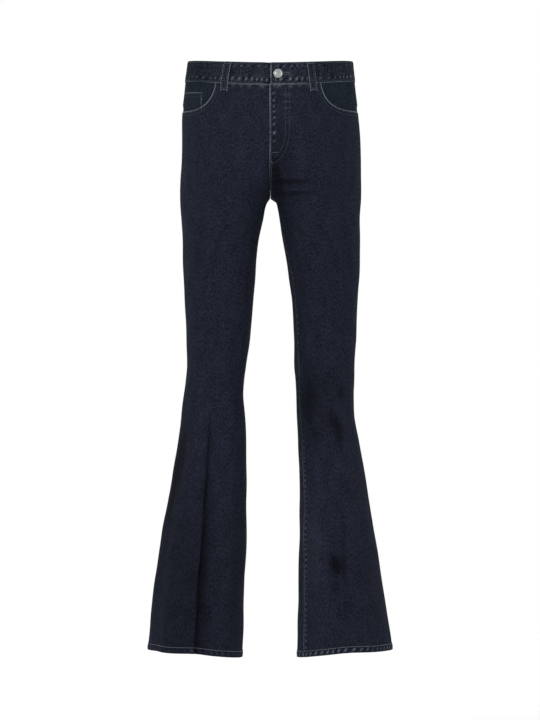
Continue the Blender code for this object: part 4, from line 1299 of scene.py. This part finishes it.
def make_back_pocket(side, finish, thread):
    """A five-sided patch with a point at the bottom and straight double-stitched edges."""

    def corner(across, down):
        """The drop and the angle at shares across, from the middle line outwards, and down."""
        height = BACK_POCKET_SIDE + BACK_POCKET_POINT * (1 - np.abs(2 * across - 1))
        drop = BACK_POCKET_TOP + height * down
        inner = angle_at_x(side, drop, BACK_POCKET_INNER + BACK_POCKET_TAPER / 2 * down, back=True)
        outer = angle_at_x(side, drop, BACK_POCKET_OUTER - BACK_POCKET_TAPER * down, back=True)
        return drop, inner + (outer - inner) * across

    run, zero, one = span(0, 1), np.zeros(LINE_POINTS), np.ones(LINE_POINTS)
    lines = (
        (1 - run, zero, PATCH_TOP),
        (zero, run, PATCH_EDGE),
        (run / 2, one, PATCH_EDGE),
        (0.5 + run / 2, one, PATCH_EDGE),
        (one, 1 - run, PATCH_EDGE),
    )
    surface = leg_surface(side)
    edges = [Edge(surface, *corner(across, down), look) for across, down, look in lines]
    height = still(BACK_POCKET_GAP + BACK_POCKET_THICKNESS)
    cloth = Cloth(surface, height, edges, BACK_POCKET_THICKNESS)
    half_columns = places(SMALL_PIECE, BACK_POCKET_HALF_COLUMNS) / SMALL_PIECE / 2
    across = np.concatenate([half_columns, 1 - half_columns[-2::-1]])
    down = places(SMALL_PIECE, BACK_POCKET_ROWS)[:, None] / SMALL_PIECE
    drop, angle = corner(across, down)
    name = "back_pocket_" + SIDE_NAMES[side]
    sew(name, cloth, drop, angle, finish)
    stitches = Threads(cloth, edges)
    for across in BACK_POCKET_TACKS:
        tack_drop, tack_angle = corner(np.array(across), BACK_POCKET_TACK_DOWN)
        stitches.bar(cloth, float(tack_drop), float(tack_angle))
    stitches.make("threads_" + name, thread)


def make_waistband(finish, thread):
    """One strip that starts at the overlap's edge, goes round and ends under its own start."""
    first = turn_at_x(OVERLAP_EDGE)
    dips = FULL_TURN + turn_at_x(UNDERLAP_STARTS)
    level = FULL_TURN + turn_at_x(UNDERLAP_LEVEL)
    last = FULL_TURN + turn_at_x(UNDERLAP_END)

    def height(drop, turn):
        return BAND_PROUD - (BAND_THICKNESS + LAYER_GAP + UNDER_GAP) * ease(turn, dips, level)

    top = Edge(round_waist, 0, span(first, last), BAND_TOP)
    foot = Edge(round_waist, BAND_HEIGHT, span(last, first), BAND_FOOT)
    end = Edge(round_waist, span(BAND_HEIGHT, 0), first, BAND_END)
    cloth = Cloth(round_waist, height, [top, foot, end], BAND_THICKNESS, BAND_WEAR)
    turn = first + (last - first) * places(WAIST_GIRTH, WAISTBAND_COLUMNS) / WAIST_GIRTH
    drop = places(BAND_HEIGHT, WAISTBAND_ROWS)[:, None]
    drop, turn = np.broadcast_arrays(drop, turn)
    sew("waistband", cloth, drop, turn, finish)
    stitches = Threads(cloth, ())
    for edge in (top, foot):
        shows = edge.turn < dips
        stitches.edge_rows(cloth, edge.drop[shows], edge.turn[shows], edge.look)
    stitches.edge_rows(cloth, end.drop, end.turn, end.look)
    add_buttonhole(stitches, cloth)
    stitches.make("threads_waistband", thread)
    return cloth


def add_buttonhole(stitches, cloth):
    """Close stitches round the buttonhole's slit."""
    x = np.arange(HOLE_START, HOLE_END, BAR_PITCH)
    turn = np.array([turn_at_x(value) for value in x])
    for way in (-1, 1):
        near = cloth.lay(BUTTON_DROP + way * HOLE_HALF_WIDTH, turn)
        far = cloth.lay(BUTTON_DROP + way * (HOLE_HALF_WIDTH + HOLE_STITCH), turn)
        stitches.tubes(near[0], far[0], near[1], lift=HOLE_LIFT)
    side_drop = BUTTON_DROP + (HOLE_HALF_WIDTH + HOLE_STITCH) * np.linspace(-1, 1, HOLE_END_STITCHES)
    near = cloth.lay(side_drop, turn_at_x(HOLE_END))
    far = cloth.lay(side_drop, turn_at_x(HOLE_END + HOLE_STITCH))
    stitches.tubes(near[0], far[0], near[1], lift=HOLE_LIFT)


def make_hole_shadow(cloth, finish):
    """A near-black sheet laid in the cloth, thin and narrow at its ends, that paints the shadow in the
    buttonhole's slit.
    """
    x = np.linspace(HOLE_START, HOLE_END, HOLE_SLIT_STEPS)
    turn = np.array([turn_at_x(value) for value in x])
    narrowing = 1 - np.linspace(-1, 1, HOLE_SLIT_STEPS) ** 4
    half = HOLE_HALF_WIDTH * np.sqrt(np.clip(narrowing, HOLE_LEAST_WIDTH, 1))
    drop = BUTTON_DROP + half * np.array([-1, 0, 1])[:, None]
    face, out, wear = cloth.lay(drop, turn)
    top = face + out * HOLE_SLIT_PROUD
    piece = wall("buttonhole_shadow_sheet", top, top - out * HOLE_SLIT_THICKNESS, out, wear)
    piece.data.materials.append(finish)
    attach(piece, "root")


def make_loop(node, turn, finish, thread, lean=0.0):
    """A belt loop over the waistband, sewn down at both ends. Its foot is past its top by lean."""
    nearby = round_waist(BAND_HEIGHT / 2, turn + SMALL_TURN * np.array([-1, 1]), BAND_PROUD)
    turn_per_metre = 2 * SMALL_TURN / np.linalg.norm(nearby[1] - nearby[0])
    drops = column(LOOP_LEVELS, "drop")

    def thickness(drop):
        return smooth(drop, drops, column(LOOP_LEVELS, "thickness"))

    def place(drop, across):
        """The turn at a share of the loop's width from its middle line."""
        return turn + turn_per_metre * (across * LOOP_WIDTH + lean * (drop / LOOP_BOTTOM - 0.5))

    def height(drop, at):
        across = (at - place(drop, 0)) / (turn_per_metre * LOOP_WIDTH / 2)
        seat = smooth(drop, drops, column(LOOP_LEVELS, "seat"))
        return seat + thickness(drop) + LOOP_CROWN * (1 - across**2)

    up, down = span(LOOP_BOTTOM, LOOP_TOP), span(LOOP_TOP, LOOP_BOTTOM)
    near = Edge(round_waist, up, place(up, -0.5), LOOP_EDGE)
    far = Edge(round_waist, down, place(down, 0.5), LOOP_EDGE)
    cloth = Cloth(round_waist, height, [near, far], thickness)
    drop = np.linspace(LOOP_TOP, LOOP_BOTTOM, LOOP_ROWS)[:, None]
    drop, at = np.broadcast_arrays(drop, place(drop, np.linspace(-0.5, 0.5, LOOP_COLUMNS)))
    sew(node, cloth, drop, at, finish)
    stitches = Threads(cloth, (near, far))
    for drop in LOOP_TACK_DROPS:
        stitches.bar(cloth, drop, place(drop, 0), length=LOOP_WIDTH * LOOP_TACK_SHARE)
    stitches.make("threads_" + node, thread)


def make_button(cloth, finish):
    """A tack button with a rolled rim, a turned ring and a low dome."""
    shape = bmesh.new()
    swing = np.arange(BUTTON_STEPS) * FULL_TURN / BUTTON_STEPS
    rings = []
    for point in BUTTON_FACE[1:-1]:
        r = BUTTON_RADIUS * point.radius_share
        rings.append([shape.verts.new((r * math.cos(a), r * math.sin(a), point.height)) for a in swing])
    for ring, after in zip(rings, rings[1:]):
        for k in range(BUTTON_STEPS):
            following = (k + 1) % BUTTON_STEPS
            shape.faces.new((ring[k], ring[following], after[following], after[k]))
    for ring, point in ((rings[0], BUTTON_FACE[0]), (rings[-1], BUTTON_FACE[-1])):
        middle = shape.verts.new((0, 0, point.height))
        for k in range(BUTTON_STEPS):
            shape.faces.new((middle, ring[k], ring[(k + 1) % BUTTON_STEPS]))
    bmesh.ops.recalc_face_normals(shape, faces=shape.faces)
    mesh = bpy.data.meshes.new("button_face")
    shape.to_mesh(mesh)
    shape.free()
    mesh.shade_smooth()
    mesh.set_sharp_from_angle(angle=BUTTON_SHARP)
    mesh.materials.append(finish)
    button = add_object("tack_button", mesh)
    seat, out, _ = cloth.lay(BUTTON_DROP, turn_at_x(BUTTON_X))
    facing = Vector(out).to_track_quat("Z", "Y").to_matrix().to_4x4()
    button.matrix_world = Matrix.Translation(Vector(seat + out * BUTTON_LIFT)) @ facing
    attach(button, "root")
    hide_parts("button")


class Nodes:
    """Adds shader nodes to one new material."""

    def __init__(self, name):
        self.material = bpy.data.materials.new(name)
        self.material.use_nodes = True
        self.tree = self.material.node_tree
        self.shader = self.tree.nodes["Principled BSDF"]

    def add(self, kind, **settings):
        """A new node with these settings."""
        node = self.tree.nodes.new(kind)
        for key, value in settings.items():
            setattr(node, key, value)
        return node

    def feed(self, socket, value):
        """Links a socket to another's output, or sets it to a number or colour."""
        if isinstance(value, bpy.types.NodeSocket):
            self.tree.links.new(value, socket)
        else:
            socket.default_value = value

    def math(self, operation, *values, clamp=False):
        node = self.add("ShaderNodeMath", operation=operation, use_clamp=clamp)
        for socket, value in zip(node.inputs, values):
            self.feed(socket, value)
        return node.outputs[0]

    def mix(self, factor, first, second):
        node = self.add("ShaderNodeMix", data_type="RGBA")
        for key, value in (("Factor_Float", factor), ("A_Color", first), ("B_Color", second)):
            socket = next(s for s in node.inputs if s.identifier == key)
            self.feed(socket, value)
        return next(s for s in node.outputs if s.identifier == "Result_Color")

    def spread(self, value, low, high, new_low=0.0, new_high=1.0):
        """Stretches a range of values to another range."""
        node = self.add("ShaderNodeMapRange")
        for socket, number in zip(node.inputs, (value, low, high, new_low, new_high)):
            self.feed(socket, number)
        return node.outputs[0]

    def attribute(self, name):
        return self.add("ShaderNodeAttribute", attribute_name=name).outputs["Fac"]

    def scaled(self, source, scale):
        node = self.add("ShaderNodeVectorMath", operation="MULTIPLY")
        self.feed(node.inputs[0], source)
        node.inputs[1].default_value = scale
        return node.outputs[0]

    def noise(self, source, scale, detail=2.0, roughness=0.55):
        node = self.add("ShaderNodeTexNoise")
        self.feed(node.inputs["Vector"], self.scaled(source, scale))
        node.inputs["Scale"].default_value = 1.0
        node.inputs["Detail"].default_value = detail
        node.inputs["Roughness"].default_value = roughness
        return node.outputs["Fac"]

    def specks(self, scale):
        """Noise that is fixed to the piece."""
        return self.noise(self.add("ShaderNodeTexCoord").outputs["Object"], scale)

    def bump(self, height, distance, strength):
        node = self.add("ShaderNodeBump")
        node.inputs["Strength"].default_value = strength
        node.inputs["Distance"].default_value = distance
        self.feed(node.inputs["Height"], height)
        self.feed(self.shader.inputs["Normal"], node.outputs["Normal"])

    def finish(self, colour, roughness, metallic=0.0, specular=0.5):
        """Sets the shader and returns the material."""
        self.feed(self.shader.inputs["Base Color"], colour)
        self.shader.inputs["Roughness"].default_value = roughness
        self.shader.inputs["Metallic"].default_value = metallic
        self.shader.inputs["Specular IOR Level"].default_value = specular
        return self.material


def denim(tone):
    """Dark denim: its grain and twill, lighter wear and painted highlights, darker painted shade, and a
    paler inside.
    """
    nodes = Nodes(tone.name)
    cloth = nodes.add("ShaderNodeUVMap", uv_map="cloth").outputs["UV"]
    layers = [nodes.noise(cloth, grain.scale, grain.detail) for grain in GRAINS]
    value = 0.0
    for grain, layer in zip(GRAINS, layers):
        value = nodes.math("MULTIPLY_ADD", layer, grain.share, value)
    reach = TONE_SPREAD / tone.contrast
    colour = nodes.mix(nodes.spread(value, 0.5 - reach, 0.5 + reach), tone.dark, tone.light)
    tint = nodes.spread(nodes.noise(cloth, TINT_SCALE, detail=1.0), *TINT_RANGE)
    colour = nodes.mix(nodes.math("MULTIPLY", tint, TINT_SHARE), colour, TINT)
    # Each point's value lightens the cloth for wear and painted highlights, and darkens it with painted
    # shade.
    wear = nodes.attribute("wear")
    speckle = nodes.spread(nodes.noise(cloth, SPECKLE_SCALE, detail=1.0), *SPECKLE_RANGE)
    lighter = nodes.math("MULTIPLY", nodes.math("MAXIMUM", wear, 0.0), speckle, clamp=True)
    colour = nodes.mix(lighter, colour, WORN_AND_HIGHLIGHT)
    darker = nodes.math("MULTIPLY", nodes.math("MINIMUM", wear, 0.0), -1.0)
    colour = nodes.mix(nodes.math("MINIMUM", darker, MOST_SHADE), colour, SHADE)
    colour = nodes.mix(nodes.attribute("inside"), colour, INSIDE)
    split = nodes.add("ShaderNodeSeparateXYZ")
    nodes.feed(split.inputs[0], nodes.scaled(cloth, TWILL_SCALE))
    twill = nodes.math("SINE", nodes.math("ADD", split.outputs[0], split.outputs[1]))
    fine, slub = layers[:2]
    yarn = nodes.math("MULTIPLY_ADD", slub, SLUB_HEIGHT, fine)
    nodes.bump(nodes.math("MULTIPLY_ADD", twill, TWILL_HEIGHT, yarn), DENIM_RELIEF, DENIM_BUMP)
    return nodes.finish(colour, DENIM_ROUGHNESS, specular=DENIM_SPECULAR)


def thread_finish(tone):
    """Twisted thread, a little uneven in tone."""
    nodes = Nodes(tone.name)
    colour = nodes.mix(nodes.specks(THREAD_SCALE), tone.dark, tone.light)
    return nodes.finish(colour, roughness=0.7, specular=0.2)


def metal_finish():
    """The button's plain silvery metal."""
    nodes = Nodes("button_metal")
    shade = nodes.spread(nodes.specks(SPECK_SCALE), *METAL_RANGE)
    return nodes.finish(nodes.mix(shade, METAL_DARK, METAL_LIGHT), roughness=0.28, metallic=1.0)


def slit_shadow_finish():
    """Painted shadow in the buttonhole's slit: a near-black colour."""
    nodes = Nodes("buttonhole_shadow")
    tinted = nodes.add("ShaderNodeVectorMath", operation="SCALE")
    tinted.inputs[0].default_value = SLIT_SHADOW_COLOUR
    nodes.feed(tinted.inputs["Scale"], nodes.spread(nodes.specks(SPECK_SCALE), *SLIT_RANGE))
    return nodes.finish(tinted.outputs[0], roughness=1.0, specular=0.1)


def add_lamp(lamp):
    """A round soft light."""
    light = bpy.data.lights.new(lamp.name, "AREA")
    light.shape = "DISK"
    light.size = lamp.size
    light.energy = lamp.power
    thing = add_object(lamp.name, light)
    thing.location = lamp.place
    away = Vector(LIGHT_AIM) - Vector(lamp.place)
    thing.rotation_euler = away.to_track_quat("-Z", "Y").to_euler()


def add_studio():
    """A white world, a large pale floor, two soft lights and the camera."""
    world = bpy.data.worlds.new("studio")
    world.use_nodes = True
    background = world.node_tree.nodes["Background"]
    background.inputs["Color"].default_value = (1, 1, 1, 1)
    background.inputs["Strength"].default_value = 1.0
    bpy.context.scene.world = world
    mesh = bpy.data.meshes.new("floor")
    corners = ((-1, -1), (1, -1), (1, 1), (-1, 1))
    points = [(x * FLOOR_HALF, y * FLOOR_HALF, FLOOR_HEIGHT) for x, y in corners]
    mesh.from_pydata(points, [], [(0, 1, 2, 3)])
    mesh.materials.append(Nodes("floor").finish(FLOOR_COLOUR, roughness=0.95, specular=0.05))
    add_object("floor", mesh)
    for lamp in LAMPS:
        add_lamp(lamp)
    camera = add_object("camera", bpy.data.cameras.new("camera"))
    camera.data.sensor_width = CAMERA_SENSOR
    camera.data.lens = CAMERA_LENS
    camera.location = CAMERA_PLACE
    camera.rotation_euler = (math.pi / 2, 0, 0)
    bpy.context.scene.camera = camera
    bpy.context.scene.view_settings.view_transform = "Standard"


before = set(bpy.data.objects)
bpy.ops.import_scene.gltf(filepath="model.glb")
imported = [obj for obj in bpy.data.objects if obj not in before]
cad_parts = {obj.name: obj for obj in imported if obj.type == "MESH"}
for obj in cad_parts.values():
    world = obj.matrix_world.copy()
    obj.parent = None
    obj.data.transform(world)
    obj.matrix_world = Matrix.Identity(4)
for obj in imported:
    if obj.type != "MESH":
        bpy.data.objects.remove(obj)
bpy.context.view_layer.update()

jeans_denim, band_denim, facing_denim = (denim(tone) for tone in DENIM_TONES)
thread, pale_thread = (thread_finish(tone) for tone in THREAD_TONES)

for side in (RIGHT, LEFT):
    make_front(side, jeans_denim, thread, pale_thread)
    make_back(side, jeans_denim, thread, pale_thread)
    make_yoke(side, jeans_denim, thread)
    make_facing(side, facing_denim)
    make_back_pocket(side, jeans_denim, thread)
make_coin_pocket(facing_denim, thread)
make_fly_facing(jeans_denim)
band = make_waistband(band_denim, thread)
make_hole_shadow(band, slit_shadow_finish())
back_turn = math.pi - turn_at_x(BACK_LOOP_X)
right_turn = FULL_TURN - turn_at_x(FRONT_LOOP_X[RIGHT])
make_loop("belt_loop_front_left", turn_at_x(FRONT_LOOP_X[LEFT]), band_denim, thread, LOOP_LEAN)
make_loop("belt_loop_back_left", back_turn, band_denim, thread)
make_loop("belt_loop_centre_back", math.pi, band_denim, thread)
make_loop("belt_loop_back_right", FULL_TURN - back_turn, band_denim, thread)
make_loop("belt_loop_front_right", right_turn, band_denim, thread, -LOOP_LEAN)
make_button(band, metal_finish())

add_studio()
